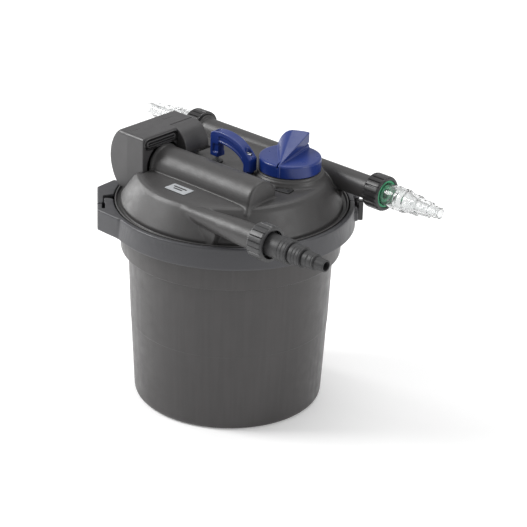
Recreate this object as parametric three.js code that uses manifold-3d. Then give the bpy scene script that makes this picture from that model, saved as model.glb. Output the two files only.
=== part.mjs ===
// Pressurized pond filter, as an assembly of separate pieces. Millimetres, +Z up.
// Origin: centre of the container's underside. +X: along the hose tubes, towards the front adapter's tip.
import * as THREE from 'three';
import { mergeVertices } from 'three/addons/utils/BufferGeometryUtils.js';
import { ConvexGeometry } from 'three/addons/geometries/ConvexGeometry.js';
import Module from 'manifold-3d';

const wasm = await Module();
wasm.setup();

// ---------- driving dimensions ----------
const DEG = Math.PI / 180;
const GAP = 0.3; // clearance between neighbours
const PAST = 2; // how far a cutter runs past the face it opens

const ROUND = 40; // facets round the container, ring and lid
const MID = 24; // facets round knob, turret and tubes
const FINE = 16; // facets round hose steps, legs and pipes
const SMALL = 10; // facets round rods, screws and pins

const CONTAINER = {
  height: 302, baseR: 146.1, baseRound: 9, topR: 157.7, wall: 4,
  collarZ: 246.3, collarR: 169.4, collarRise: 7, rimR: 184, rim: 6,
};
const RING = { lowZ: 287.7, topZ: 322.2, lowR: 190, topR: 187.5, innerR: 186, lipR: 180, footR: 173, lip: 6 };
// Corner block of the ring, at 225 degrees, and the lap joint that splits it.
const BLOCK = {
  turn: 225, nearX: -64, nearY: -177, farX: -176.5, farY: -115,
  cornerX: -112, cornerY: -176.5, heelX: -180, heelY: -78,
  lapR: 195.2, lapInner: 5.1, lapOuter: 21, slotX: -116, slotY: -159, slotLength: 19, slotWidth: 4.5, slotDepth: 12,
  mouthInner: 9.5, mouthOuter: 3.5,
};
const SPLIT_TURN = 43; // direction of the ring's other joint
const SPLIT_GAP = 1; // open joint between the ring halves
const LEVER = {
  pivotR: 197, pivotTurn: 56, barTurn: 44.2, barR: 197.5, barWidth: 7.6, lowZ: 290, topZ: 323,
  armZ: 300, armHeight: 10, armWidth: 5.2, knuckleR: 6, pinR: 2.4, earHeight: 6, earSpread: 2.6,
};
const FRONT_LUG = { fromTurn: 37, toTurn: 42.2, r: 193.5, lowZ: 297, topZ: 313 };

const LID = {
  underZ: 306, footR: 169.5, footZ: 324, shoulderR: 149, shoulderZ: 360.5, deckZ: 372, wall: 4,
  flangeR: 178.5, flangeZ: 322.4, lipWidth: 2.5, groove: 4,
};
// Radius and height along the dome above its shoulder, and along the inside of its wall.
const CROWN = [[145.5, 364.8], [140.5, 367.3], [134, 368.4], [100, 369.6], [60, 370.8]];
const CROWN_INSIDE = [[138, 363], [60, 366.5]];
const SEAL = { innerR: 172, outerR: 177, lowZ: 302.3, topZ: 305.7 };
const HEAD_BAY = { x: -87.5, frontY: -105.5, backY: 46, z: 324 }; // where the lid makes room for the UV head
const LAMP_TUBE = { y: -59, z: 371, r: 30, bore: 26, startX: -87, endX: 113, corner: 6, footZ: 353, spread: 2.5 };
const REAR_TUBE = { y: 115, z: 359.5, r: 18, bore: 14, leftX: -166, rightX: 183 };
const WEB = { y: 111, thick: 5, reachX: 150 };
const FRONT_TUBE = { y: -137, z: 354.5, r: 18.5, noseR: 8, noseX: 10, fullX: 150, endX: 180, bore: 14, passage: 7 };
const GUSSET = { footX: 79, footEnd: 99, topX: 66, topEnd: 107, innerY: -131, outerY: -146 };
const LABEL = { x: -3, y: -112.3, length: 40, width: 22, lowZ: 368.5, thick: 0.9 };
const SYMBOL = { x: 100.5, y: 3.7, length: 26, width: 17, lowZ: 368.6, thick: 0.9, turn: 10 };
// Openings from the tubes into the lid's hollow: along X, across Y, and in height.
const LAMP_WINDOW = { fromX: -60, toX: 80, halfWidth: 8, intoBore: 2 };
const REAR_WINDOW = { fromX: -50, toX: 90, fromY: -28, toY: -5, below: 10, above: 2 };
const FRONT_WINDOW = { fromX: 42, toX: 70, depth: 30, halfHeight: 4 };
const GRID_POST = { r: 5, atR: 105, turns: [125, 270, 352], topZ: 365.5 };

const KNOB = { x: 74.5, y: 46.5, r: 47.5, lowZ: 382, topZ: 402, skin: 4, edge: 3.5, hubR: 13, spindleR: 8 };
// Grip of the knob, from the knob's centre: its point, and the two feet of the arch behind it.
const GRIP = { tip: [17, -43.5], left: [-42, 17], right: [-1.5, 45.3], rise: 27, rightRise: 22.7, arch: 9 };
const TURRET = { r: 50, topZ: 381.5, stepR: 52.5, stepZ: 377.5, flareR: 56, flareZ: 372, lowZ: 352, boreR: 44 };
const ROTOR = { r: 36, lowZ: 345, topZ: 351, portR: 9, portAt: 22 };

const ROD = { x: 32, r: 3, lowZ: 36, topZ: 396 };
const BUSH = { r: 6.1, headR: 9, lowZ: 363, seatZ: 374.3, head: 2, bossR: 10 };
const HANDLE = {
  width: 17, legR: 8, screwZ: 402, screwR: 4.8, leftFootZ: 385, leftTopZ: 404, rightFootZ: 378.2, rightTopZ: 400,
  channel: 4, leftWidth: 14, heelInX: 29, heelZ: 388, cornerZ: 418,
};
// Curves of the handle's side view: two control points and the end, in X and Z.
const HANDLE_CROWN = [-34, 424.5];
const HANDLE_TOP = { pulls: [[-10, 431], [20, 426]], end: [42, 399] };
const HANDLE_UNDER = { pulls: [[22, 400], [4, 409]], end: [-24, 409] };
const HANDLE_GROOVE = { startX: -35, footZ: 392, topZ: 417, endX: 28, endZ: 399, returnX: -29 };
const HANDLE_GROOVE_TOP = { pulls: [[-12, 424], [12, 418]], end: [28, 403] };
const HANDLE_GROOVE_UNDER = { pulls: [[18, 408], [-4, 412.5]], end: [-28, 412.5] };
const SCREW = { height: 4.2, socketR: 2.2, socketDepth: 2 };
const ROD_NUT = { r: 6, height: 5 };
const PLATE = { r: 134, lowZ: 44, topZ: 50 };
const GRID = { r: 150, lowZ: 296, topZ: 301 };
const SLOT_ROWS = [{ near: 48, far: 82, count: 8 }, { near: 90, far: 124, count: 14 }];
const SLOT_WIDTH = 5;
const FOAM = { r: 133, boreR: 24, rodHoleR: 4.5, count: 5, coarse: 2, lowZ: 50.5, topZ: 295.5 };
const PIPE = { r: 22, wall: 3, lowZ: 54, topZ: 306, window: 26, windowWidth: 8, levels: 4, pitch: 56, firstZ: 74 };

const HEAD = {
  lowZ: 331, topZ: 422, frontY: -104, backY: 19, faceX: -88, flatX: -142, bulge: 21, wall: 3, taperX: -122, taper: 3,
  tubeGap: 4,
};
const HOOD = { x: -103.4, r: 35, z: 384, frontY: -30.6, backY: 19.3, screwIn: 12, screwUp: 22, screwR: 3 };
const LATCH = {
  frontY: -98, backY: -34, lowZ: 404, topZ: 416, depth: 6, proud: 1.5, travel: 3, grooves: 3, pitch: 3.6, grip: 3,
};
const DASH = { length: 14, width: 3, height: 1, x: -128, y: -70, pitch: 26 };
const BASE = { lowX: -138, thick: 4, plugR: 25.6, plugStart: -97, plugEnd: -79, seatEnd: -76 };
const BALLAST = { lowX: -136, highX: -112, frontY: -90, backY: -1, height: 30 };
const SLEEVE = { r: 16, wall: 2, startX: -96, endX: 96, tip: 6 };
const LAMP = { r: 6, spread: 6.6, startX: -78, endX: 84, bridge: 5 };
const LAMP_HOLDER = { r: 13.5, startX: -94, endX: -78.3 };
const CABLE = { r: 3.5, glandX: -128, glandZ: 352, bore: 4.2, nutR: 9, stiffness: 0.35 };
// The mains cable's run after the gland: down the outside of the container and away over the ground.
const CABLE_RUN = [
  [-131, 32, 352], [-150, 39, 350], [-174, 46, 344], [-198, 56, 330], [-207, 62, 306], [-207, 64, 260], [-207, 66, 120],
  [-209, 70, 30], [-224, 82, 5], [-262, 100, 4.5],
];

const UNION = {
  nutR: 27, nutRootR: 25.2, nutLength: 27, nutEdge: 1.5, boreR: 23.1, mouthR: 21.2, mouthDepth: 6, ribs: 20,
  threadR: 22.3, threadLength: 12, flangeR: 22.3, flangeAt: 14, flangeLength: 4,
};
// Each hose step of an adapter, from the nut's outer face: outside radius and where it ends (38, 32, 25, 19 mm hose).
const HOSE_STEPS = [[17.5, 14], [18.6, 39], [15.8, 62], [12.4, 84], [9.5, 101]];
const HOSE_BORE = { wideR: 14, wideTo: 32, narrowR: 6.5, narrowFrom: 62 };
const INSERT = { innerR: 18, outerR: 20.6 };

// ---------- looks ----------
const LOOKS = {
  anthracite: { color: '#4d4c4c', roughness: 0.5, metalness: 0 },
  ring: { color: '#525257', roughness: 0.45, metalness: 0 },
  black: { color: '#2b2a2a', roughness: 0.45, metalness: 0 },
  blue: { color: '#1c2f7c', roughness: 0.35, metalness: 0 },
  clear: { color: '#e8eff2', roughness: 0.1, metalness: 0 },
  green: { color: '#2fa56c', roughness: 0.4, metalness: 0 },
  cream: { color: '#d9cdb6', roughness: 0.5, metalness: 0 },
  steel: { color: '#c3c6c8', roughness: 0.25, metalness: 1 },
  rubber: { color: '#1b1b1b', roughness: 0.8, metalness: 0 },
  foamBlue: { color: '#3c6fae', roughness: 0.95, metalness: 0 },
  foamRed: { color: '#a44a3a', roughness: 0.95, metalness: 0 },
  white: { color: '#eeeeea', roughness: 0.5, metalness: 0 },
};

const filter = new THREE.Group();

function add(parent, name, solid, look) {
  const mesh = new THREE.Mesh(toGeometry(solid), new THREE.MeshStandardMaterial(LOOKS[look]));
  mesh.name = name;
  parent.add(mesh);
}

// ---------- solids ----------
function toSolid(geometry) {
  const bare = geometry.clone();
  bare.deleteAttribute('normal');
  bare.deleteAttribute('uv');
  const merged = mergeVertices(bare, 1e-4);
  const position = merged.getAttribute('position');
  const index = merged.getIndex().array;
  const corners = [new THREE.Vector3(), new THREE.Vector3(), new THREE.Vector3()];
  const triangles = [];
  let volume = 0;
  for (let i = 0; i < index.length; i += 3) {
    const [p, q, r] = index.slice(i, i + 3);
    if (p === q || q === r || r === p) continue;
    corners.forEach((corner, k) => corner.fromBufferAttribute(position, index[i + k]));
    volume += corners[0].dot(corners[1].cross(corners[2]));
    triangles.push(p, q, r);
  }
  if (volume < 0) triangles.reverse();
  const vertProperties = new Float32Array(position.array);
  const triVerts = new Uint32Array(triangles);
  return new wasm.Manifold(new wasm.Mesh({ numProp: 3, vertProperties, triVerts }));
}

function toGeometry(solid) {
  const mesh = solid.getMesh();
  const geometry = new THREE.BufferGeometry();
  geometry.setAttribute('position', new THREE.BufferAttribute(new Float32Array(mesh.vertProperties), 3));
  geometry.setIndex(new THREE.BufferAttribute(new Uint32Array(mesh.triVerts), 1));
  geometry.computeVertexNormals();
  return geometry;
}

const join = (...solids) => solids.reduce((whole, next) => whole.add(next));
const cut = (body, ...tools) => tools.reduce((left, tool) => left.subtract(tool), body);

// A body of revolution about +Z, from a profile of [radius, z].
function turned(profile, facets) {
  const points = profile.map(([r, z]) => new THREE.Vector2(r, z));
  return toSolid(new THREE.LatheGeometry(points, facets).rotateX(Math.PI / 2));
}

// A body of revolution about the line along X through (y, z), from a profile of [radius, x].
function turnedX(profile, facets, y, z) {
  const points = profile.map(([r, x]) => new THREE.Vector2(r, x));
  return toSolid(new THREE.LatheGeometry(points, facets).rotateZ(-Math.PI / 2).translate(0, y, z));
}

function tubeX(innerR, outerR, startX, endX, facets, y, z) {
  const section = [[innerR, startX], [outerR, startX], [outerR, endX], [innerR, endX], [innerR, startX]];
  return turnedX(section, facets, y, z);
}

function post(r, x, y, lowZ, topZ, facets) {
  const geometry = new THREE.CylinderGeometry(r, r, topZ - lowZ, facets);
  return toSolid(geometry.rotateX(Math.PI / 2).translate(x, y, (lowZ + topZ) / 2));
}

function barX(r, startX, endX, y, z, facets) {
  const geometry = new THREE.CylinderGeometry(r, r, endX - startX, facets);
  return toSolid(geometry.rotateZ(Math.PI / 2).translate((startX + endX) / 2, y, z));
}

function barY(r, startY, endY, x, z, facets) {
  const geometry = new THREE.CylinderGeometry(r, r, endY - startY, facets);
  return toSolid(geometry.translate(x, (startY + endY) / 2, z));
}

function block(lowX, highX, lowY, highY, lowZ, highZ) {
  const geometry = new THREE.BoxGeometry(highX - lowX, highY - lowY, highZ - lowZ);
  return toSolid(geometry.translate((lowX + highX) / 2, (lowY + highY) / 2, (lowZ + highZ) / 2));
}

// A thin rectangular plate lying flat, turned about its own centre.
function plate({ x, y, length, width, lowZ, thick, turn = 0 }, grow = 0) {
  const geometry = new THREE.BoxGeometry(length + 2 * grow, width + 2 * grow, thick);
  return toSolid(geometry.rotateZ(turn * DEG).translate(x, y, lowZ + thick / 2));
}

const outline = (points) => new THREE.Shape(points.map(([x, y]) => new THREE.Vector2(x, y)));

// A plan outline raised from lowZ to topZ.
function prism(shape, lowZ, topZ, curveSegments = 6) {
  const options = { depth: topZ - lowZ, bevelEnabled: false, curveSegments };
  return toSolid(new THREE.ExtrudeGeometry(shape, options).translate(0, 0, lowZ));
}

// A side outline in X and Z, run along Y.
function prismY(shape, lowY, highY, curveSegments = 6) {
  const options = { depth: highY - lowY, bevelEnabled: false, curveSegments };
  return toSolid(new THREE.ExtrudeGeometry(shape, options).rotateX(Math.PI / 2).translate(0, highY, 0));
}

const polar = (r, turn) => [r * Math.cos(turn * DEG), r * Math.sin(turn * DEG)];

function arc(r, fromTurn, toTurn, steps) {
  return Array.from({ length: steps + 1 }, (_, i) => polar(r, fromTurn + ((toTurn - fromTurn) * i) / steps));
}

// A curved bar: the part of a flat ring between two radii and two directions.
function curvedBar(innerR, outerR, fromTurn, toTurn, lowZ, topZ) {
  return prism(outline([...arc(outerR, fromTurn, toTurn, 3), ...arc(innerR, toTurn, fromTurn, 3)]), lowZ, topZ);
}

// ---------- container ----------
function containerSolid() {
  const { height, baseR, baseRound, topR, wall, collarZ, collarR, collarRise, rimR, rim } = CONTAINER;
  return turned([
    [0, 0], [baseR - baseRound, 0], [baseR - 0.3 * baseRound, 0.3 * baseRound], [baseR, baseRound],
    [topR, collarZ - collarRise], [topR + 3, collarZ - 2], [collarR, collarZ], [collarR + 1.6, height - rim],
    [rimR, height - rim], [rimR, height], [collarR - wall, height],
    [collarR - wall, collarZ + wall], [topR - wall, collarZ - wall], [baseR - wall, baseRound],
    [baseR - wall - baseRound, wall + 1], [0, wall + 1],
  ], ROUND);
}

// ---------- clamp ring ----------
function ringSolid() {
  const { lowZ, topZ, lowR, topR, innerR, lipR, footR, lip } = RING;
  const band = turned([
    [footR, lowZ], [lowR, lowZ], [topR, topZ], [lipR, topZ], [lipR, topZ - lip],
    [innerR, topZ - lip], [innerR, lowZ + lip], [footR, lowZ + lip], [footR, lowZ],
  ], ROUND);
  const corner = outline([
    [BLOCK.nearX, BLOCK.nearY], [BLOCK.cornerX, BLOCK.cornerY], [BLOCK.farX, BLOCK.farY],
    [BLOCK.heelX, BLOCK.heelY], polar(footR / 2, BLOCK.turn),
  ]);
  const hole = post(innerR + 0.5, 0, 0, lowZ - PAST, topZ + PAST, ROUND);
  return join(band, cut(prism(corner, lowZ, topZ), hole));
}

// A plan point of the block, from its distance to the ring's centre and its offset across that line.
function onBlock(depth, slip) {
  return new THREE.Vector2(depth, slip).rotateAround(new THREE.Vector2(), BLOCK.turn * DEG).toArray();
}

// Plan region that holds the front half: the lap joint in the block on one side, a straight split on the other.
function frontRegion(grow) {
  const { turn, lapR, lapInner, lapOuter } = BLOCK;
  const far = 2 * lapR;
  const lap = [
    onBlock(0, -lapInner - grow), onBlock(lapR + grow, -lapInner - grow), onBlock(lapR + grow, lapOuter - grow),
    onBlock(far, lapOuter - grow),
  ];
  const endTurn = 360 + SPLIT_TURN + grow / RING.innerR / DEG;
  return outline([...lap, ...arc(far, turn + 20, endTurn, 6)]);
}

function clampRing() {
  const { lowZ, topZ, innerR } = RING;
  const { pivotR, pivotTurn, armZ, armHeight, knuckleR, pinR, earHeight, earSpread } = LEVER;
  const whole = ringSolid();
  const frontTool = prism(frontRegion(-SPLIT_GAP / 2), lowZ - PAST, topZ + PAST);
  const rearTool = prism(frontRegion(SPLIT_GAP / 2), lowZ - PAST, topZ + PAST);
  const slotShape = new THREE.BoxGeometry(BLOCK.slotLength, BLOCK.slotWidth, 2 * BLOCK.slotDepth);
  const slot = toSolid(slotShape.rotateZ((BLOCK.turn + 90) * DEG).translate(BLOCK.slotX, BLOCK.slotY, topZ));
  const mouthAt = [[RING.lipR - PAST, BLOCK.mouthInner], [BLOCK.lapR, BLOCK.mouthOuter]];
  const mouth = prism(outline([
    ...mouthAt.map(([depth, half]) => onBlock(depth, -BLOCK.lapInner - half)),
    ...mouthAt.reverse().map(([depth, half]) => onBlock(depth, half - BLOCK.lapInner)),
  ]), topZ - BLOCK.slotDepth, topZ + PAST);
  const { fromTurn, toTurn, r, lowZ: lugLow, topZ: lugTop } = FRONT_LUG;
  const lug = curvedBar(innerR + 0.5, r, fromTurn, toTurn, lugLow, lugTop);
  add(filter, 'clamp_ring_front', cut(join(whole.intersect(frontTool), lug), slot, mouth), 'ring');

  const [pinX, pinY] = polar(pivotR, pivotTurn);
  const earLows = [armZ - earHeight - 1, armZ + armHeight + 1];
  const ears = earLows.map((low) => join(
    curvedBar(innerR + 0.5, pivotR, pivotTurn - earSpread, pivotTurn + earSpread, low, low + earHeight),
    post(knuckleR, pinX, pinY, low, low + earHeight, SMALL),
  ));
  const pinHole = post(pinR + GAP, pinX, pinY, lowZ, topZ, SMALL);
  add(filter, 'clamp_ring_rear', cut(join(cut(whole, rearTool), ...ears), pinHole, mouth), 'ring');
}

function clampLever() {
  const { pivotR, pivotTurn, barTurn, barR, barWidth, lowZ, topZ, armZ, armHeight, armWidth, knuckleR, pinR } = LEVER;
  const [pinX, pinY] = polar(pivotR, pivotTurn);
  const halfBarTurn = barWidth / 2 / barR / DEG;
  const lever = join(
    curvedBar(pivotR - armWidth / 2, pivotR + armWidth / 2, barTurn, pivotTurn, armZ, armZ + armHeight),
    curvedBar(barR - barWidth / 2, barR + barWidth / 2, barTurn - halfBarTurn, barTurn + halfBarTurn, lowZ, topZ),
    post(knuckleR, pinX, pinY, armZ, armZ + armHeight, SMALL),
  );
  add(filter, 'clamp_lever', cut(lever, post(pinR + GAP, pinX, pinY, lowZ, topZ, SMALL)), 'black');
  const reach = LEVER.earHeight + 1;
  add(filter, 'clamp_lever_pin', post(pinR, pinX, pinY, armZ - reach, armZ + armHeight + reach, SMALL), 'steel');
}

// ---------- lid ----------
function domeSolid() {
  const { underZ, footR, footZ, shoulderR, shoulderZ, deckZ } = LID;
  return turned([
    [0, underZ], [footR, underZ], [footR, footZ], [shoulderR, shoulderZ],
    ...CROWN, [0, deckZ],
  ], ROUND);
}

function domeHollow() {
  const { underZ, footR, footZ, shoulderR, shoulderZ, deckZ, wall } = LID;
  return turned([
    [0, underZ - PAST], [footR - wall, underZ - PAST], [footR - wall, footZ - 1.5], [shoulderR - wall, shoulderZ - 2],
    ...CROWN_INSIDE, [0, deckZ - wall],
  ], ROUND);
}

function flangeSolid() {
  const { underZ, footR, flangeR, flangeZ, lipWidth, groove } = LID;
  const innerR = footR - LID.wall / 2;
  return turned([
    [innerR, underZ], [flangeR, underZ], [flangeR, flangeZ], [flangeR - lipWidth, flangeZ],
    [flangeR - lipWidth, flangeZ - groove], [innerR, flangeZ - groove], [innerR, underZ],
  ], ROUND);
}

function turretSolid() {
  const { r, topZ, stepR, stepZ, flareR, flareZ, lowZ } = TURRET;
  const profile = [
    [0, lowZ], [flareR, lowZ], [flareR, flareZ], [stepR, flareZ + 3], [stepR, stepZ],
    [r, stepZ], [r, topZ], [0, topZ],
  ];
  return turned(profile, MID).translate([KNOB.x, KNOB.y, 0]);
}

// The bay is as wide as the head, open to the outside and above; grow thickens its walls.
function headBay(grow) {
  const { x, frontY, backY, z } = HEAD_BAY;
  return block(-LID.flangeR, x + grow, frontY - grow, backY + grow, z - grow, HEAD.topZ);
}

// The lamp tube stands in the lid as a tunnel: a half cylinder on upright walls that spread a little at the foot.
function lampTubeSolid() {
  const { y, z, r, startX, endX, corner, footZ, spread } = LAMP_TUBE;
  const section = (x, inset) => {
    const half = r - inset;
    const crown = arc(half, 0, 180, MID / 2).map(([across, up]) => new THREE.Vector3(x, y + across, z + up));
    return [new THREE.Vector3(x, y - half - spread, footZ), ...crown, new THREE.Vector3(x, y + half + spread, footZ)];
  };
  const tunnel = toSolid(new ConvexGeometry([
    ...section(startX, 0), ...section(endX - corner, 0), ...section(endX - 0.3 * corner, 0.3 * corner),
    ...section(endX, corner),
  ]));
  return join(tunnel, barX(r, startX, endX - corner, y, z, MID));
}

function frontTubeSolid() {
  const { y, z, r, noseR, noseX, fullX, endX } = FRONT_TUBE;
  return turnedX([[0, noseX], [noseR, noseX], [r, fullX], [r, endX], [0, endX]], MID, y, z);
}

// Everything that stands inside the lid's outer wall, limited by a cylinder through the flange.
function withinWall(solid) {
  return solid.intersect(post(LID.footR + 2, 0, 0, LID.underZ, 2 * LID.deckZ, ROUND));
}

function spigot(endX, outward, { y, z }) {
  const ends = [endX - outward * PAST, endX + outward * UNION.threadLength].sort((a, b) => a - b);
  return barX(UNION.threadR, ...ends, y, z, MID);
}

function lampWindow() {
  const { fromX, toX, halfWidth, intoBore } = LAMP_WINDOW;
  const { y, z, r, bore } = LAMP_TUBE;
  return block(fromX, toX, y - halfWidth, y + halfWidth, z - r - PAST, z - bore + intoBore);
}

function rearWindow() {
  const { fromX, toX, fromY, toY, below, above } = REAR_WINDOW;
  const { y, z } = REAR_TUBE;
  return block(fromX, toX, y + fromY, y + toY, z - below, z + above);
}

function frontWindow() {
  const { fromX, toX, depth, halfHeight } = FRONT_WINDOW;
  const { y, z } = FRONT_TUBE;
  return block(fromX, toX, y, y + depth, z - halfHeight, z + halfHeight);
}

function lidSolid() {
  const { wall, underZ } = LID;
  const { x, y, spindleR } = KNOB;
  const shell = cut(
    join(domeSolid(), turretSolid()), headBay(0), cut(domeHollow(), headBay(wall)),
    post(TURRET.boreR, x, y, ROTOR.lowZ, TURRET.topZ - wall, MID),
  );
  const lamp = LAMP_TUBE;
  const rear = REAR_TUBE;
  const front = FRONT_TUBE;
  const rearTube = barX(rear.r, rear.leftX, rear.rightX, rear.y, rear.z, MID);
  const web = withinWall(block(-WEB.reachX, WEB.reachX, WEB.y, WEB.y + WEB.thick, underZ + 4, rear.z));
  const gusset = prismY(outline([
    [GUSSET.footX, underZ + 10], [GUSSET.footEnd, underZ + 10], [GUSSET.topEnd, front.z], [GUSSET.topX, front.z],
  ]), GUSSET.outerY, GUSSET.innerY);
  const bosses = [-1, 1].map((side) => post(BUSH.bossR, side * ROD.x, 0, BUSH.lowZ, BUSH.seatZ - GAP, FINE));
  const gridPosts = GRID_POST.turns.map((turn) =>
    post(GRID_POST.r, ...polar(GRID_POST.atR, turn), GRID.topZ + GAP, GRID_POST.topZ, SMALL));
  const solid = join(
    shell, flangeSolid(), lampTubeSolid(), rearTube, frontTubeSolid(), web, gusset, ...bosses, ...gridPosts,
    spigot(front.endX, 1, front), spigot(rear.rightX, 1, rear), spigot(rear.leftX, -1, rear),
  );

  const reach = UNION.threadLength + PAST;
  return cut(
    solid,
    barX(lamp.bore, lamp.startX - PAST, lamp.endX - wall, lamp.y, lamp.z, MID),
    lampWindow(),
    barX(rear.bore, rear.leftX - reach, rear.rightX + reach, rear.y, rear.z, FINE),
    rearWindow(),
    barX(front.bore, front.fullX - 40, front.endX + reach, front.y, front.z, FINE),
    barX(front.passage, front.noseX + 30, front.fullX, front.y, front.z, FINE),
    frontWindow(),
    post(spindleR + GAP, x, y, ROTOR.lowZ, KNOB.lowZ, FINE),
    ...[-1, 1].map((side) => post(BUSH.r + GAP, side * ROD.x, 0, BUSH.lowZ - PAST, KNOB.lowZ, FINE)),
    plate({ ...LABEL, lowZ: LABEL.lowZ - GAP, thick: 5 }, GAP),
    plate({ ...SYMBOL, lowZ: SYMBOL.lowZ - GAP, thick: 5 }, GAP),
  );
}

function lid() {
  add(filter, 'lid_shell', lidSolid(), 'anthracite');
  const { innerR, outerR, lowZ, topZ } = SEAL;
  const seal = turned([[innerR, lowZ], [outerR, lowZ], [outerR, topZ], [innerR, topZ], [innerR, lowZ]], ROUND);
  add(filter, 'lid_seal', seal, 'rubber');
  add(filter, 'label_plate', plate(LABEL), 'white');
  add(filter, 'symbol_pad', plate(SYMBOL), 'black');
  const boreR = ROD.r + GAP;
  const { r, headR, lowZ: bushLow, seatZ, head } = BUSH;
  const bush = turned([
    [boreR, bushLow], [r, bushLow], [r, seatZ], [headR, seatZ], [headR, seatZ + head], [boreR, seatZ + head],
    [boreR, bushLow],
  ], SMALL);
  add(filter, 'rod_bush_left', bush.translate([-ROD.x, 0, 0]), 'black');
  add(filter, 'rod_bush_right', bush.translate([ROD.x, 0, 0]), 'black');
}

// ---------- filter stack ----------
// A disc with a centre hole, two rod holes and rows of radial slots.
function disc(r, boreR, rodHoleR, rows, lowZ, topZ, facets = ROUND) {
  const hole = (x, holeR, facets) => new THREE.Path(
    arc(holeR, 0, 360 - 360 / facets, facets - 1).map(([px, py]) => new THREE.Vector2(x + px, py)));
  const shape = outline(arc(r, 0, 360 - 360 / facets, facets - 1));
  shape.holes.push(hole(0, boreR, FINE), hole(-ROD.x, rodHoleR, SMALL), hole(ROD.x, rodHoleR, SMALL));
  for (const { near, far, count } of rows) {
    for (let i = 0; i < count; i += 1) {
      const middle = ((i + 0.5) * 360) / count;
      const half = SLOT_WIDTH / 2 / near / DEG;
      const tip = SLOT_WIDTH / 2 / far / DEG;
      const corners = [
        polar(near, middle - half), polar(near, middle + half), polar(far, middle + tip), polar(far, middle - tip),
      ];
      shape.holes.push(new THREE.Path(corners.map(([px, py]) => new THREE.Vector2(px, py))));
    }
  }
  return prism(shape, lowZ, topZ);
}

function filterStack() {
  const { boreR, rodHoleR, count, coarse, lowZ, topZ } = FOAM;
  const plateSolid = disc(PLATE.r, boreR, ROD.r + GAP, SLOT_ROWS, PLATE.lowZ, PLATE.topZ);
  add(filter, 'pressure_plate', plateSolid, 'black');
  add(filter, 'top_grid', disc(GRID.r, PIPE.r + 3 * GAP, rodHoleR, SLOT_ROWS, GRID.lowZ, GRID.topZ), 'black');
  const pitch = (topZ - lowZ) / count;
  for (let i = 0; i < count; i += 1) {
    const low = lowZ + i * pitch + GAP;
    const foam = disc(FOAM.r, boreR, rodHoleR, [], low, low + pitch - 2 * GAP, MID);
    add(filter, `foam_${i + 1}`, foam, i < coarse ? 'foamRed' : 'foamBlue');
  }

  const { r, wall, window, windowWidth, levels, pitch: windowPitch, firstZ } = PIPE;
  const innerR = r - wall;
  const pipe = turned([
    [innerR, PIPE.lowZ], [r, PIPE.lowZ], [r, PIPE.topZ], [innerR, PIPE.topZ], [innerR, PIPE.lowZ],
  ], FINE);
  const half = windowWidth / 2;
  const windows = Array.from({ length: levels }, (_, i) => {
    const z = firstZ + i * windowPitch;
    return i % 2
      ? block(-r - PAST, r + PAST, -half, half, z, z + window)
      : block(-half, half, -r - PAST, r + PAST, z, z + window);
  });
  add(filter, 'centre_pipe', cut(pipe, ...windows), 'black');
}

// ---------- cleaning handle ----------
function curveTo(shape, { pulls: [[ax, az], [bx, bz]], end: [x, z] }) {
  shape.bezierCurveTo(ax, az, bx, bz, x, z);
}

function archShape() {
  const { legR, leftFootZ, rightFootZ, heelInX, heelZ, cornerZ } = HANDLE;
  const [crownX, crownZ] = HANDLE_CROWN;
  const outerX = -ROD.x - legR;
  const shape = new THREE.Shape();
  shape.moveTo(outerX, leftFootZ);
  shape.lineTo(outerX, cornerZ);
  shape.quadraticCurveTo(outerX, crownZ - 1, crownX, crownZ);
  curveTo(shape, HANDLE_TOP);
  shape.lineTo(HANDLE_TOP.end[0], rightFootZ);
  shape.lineTo(heelInX, rightFootZ);
  shape.lineTo(heelInX, heelZ);
  curveTo(shape, HANDLE_UNDER);
  shape.lineTo(outerX + HANDLE.leftWidth, leftFootZ);
  shape.closePath();
  return shape;
}

function grooveShape() {
  const { startX, footZ, topZ, endX, endZ, returnX } = HANDLE_GROOVE;
  const shape = new THREE.Shape();
  shape.moveTo(startX, footZ);
  shape.lineTo(startX, topZ);
  curveTo(shape, HANDLE_GROOVE_TOP);
  shape.lineTo(endX, endZ);
  curveTo(shape, HANDLE_GROOVE_UNDER);
  shape.lineTo(returnX, footZ);
  shape.closePath();
  return shape;
}

function handleSolid() {
  const { width, legR, leftFootZ, rightFootZ, leftTopZ, rightTopZ, screwZ, channel } = HANDLE;
  const half = width / 2;
  const grooves = [-half - PAST, half - channel].map((low) => prismY(grooveShape(), low, low + channel + PAST));
  const legs = [
    post(legR, -ROD.x, 0, leftFootZ, leftTopZ, FINE),
    post(legR, ROD.x + 1, 0, rightFootZ, rightTopZ, FINE),
  ];
  const bores = [-ROD.x, ROD.x].map((x) => join(
    post(ROD.r + GAP, x, 0, rightFootZ - PAST, screwZ, SMALL),
    post(HANDLE.screwR + GAP, x, 0, screwZ - SCREW.height - GAP, HANDLE_CROWN[1] + 3 * PAST, SMALL),
  ));
  return cut(join(cut(prismY(archShape(), -half, half, 8), ...grooves), ...legs), ...bores);
}

function cleaningHandle() {
  add(filter, 'handle', handleSolid(), 'blue');
  for (const [side, x] of [['left', -ROD.x], ['right', ROD.x]]) {
    add(filter, `pull_rod_${side}`, post(ROD.r, x, 0, ROD.lowZ, ROD.topZ, SMALL), 'steel');
    const { screwZ, screwR } = HANDLE;
    const socket = post(SCREW.socketR, x, 0, screwZ - SCREW.socketDepth, screwZ + PAST, 6);
    const screw = cut(post(screwR, x, 0, screwZ - SCREW.height, screwZ, SMALL), socket);
    add(filter, `handle_screw_${side}`, screw, 'steel');
    const nutTop = PLATE.lowZ - GAP;
    const thread = post(ROD.r + GAP, x, 0, ROD.lowZ, PLATE.lowZ, SMALL);
    add(filter, `rod_nut_${side}`, cut(post(ROD_NUT.r, x, 0, nutTop - ROD_NUT.height, nutTop, 6), thread), 'steel');
  }
}

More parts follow.
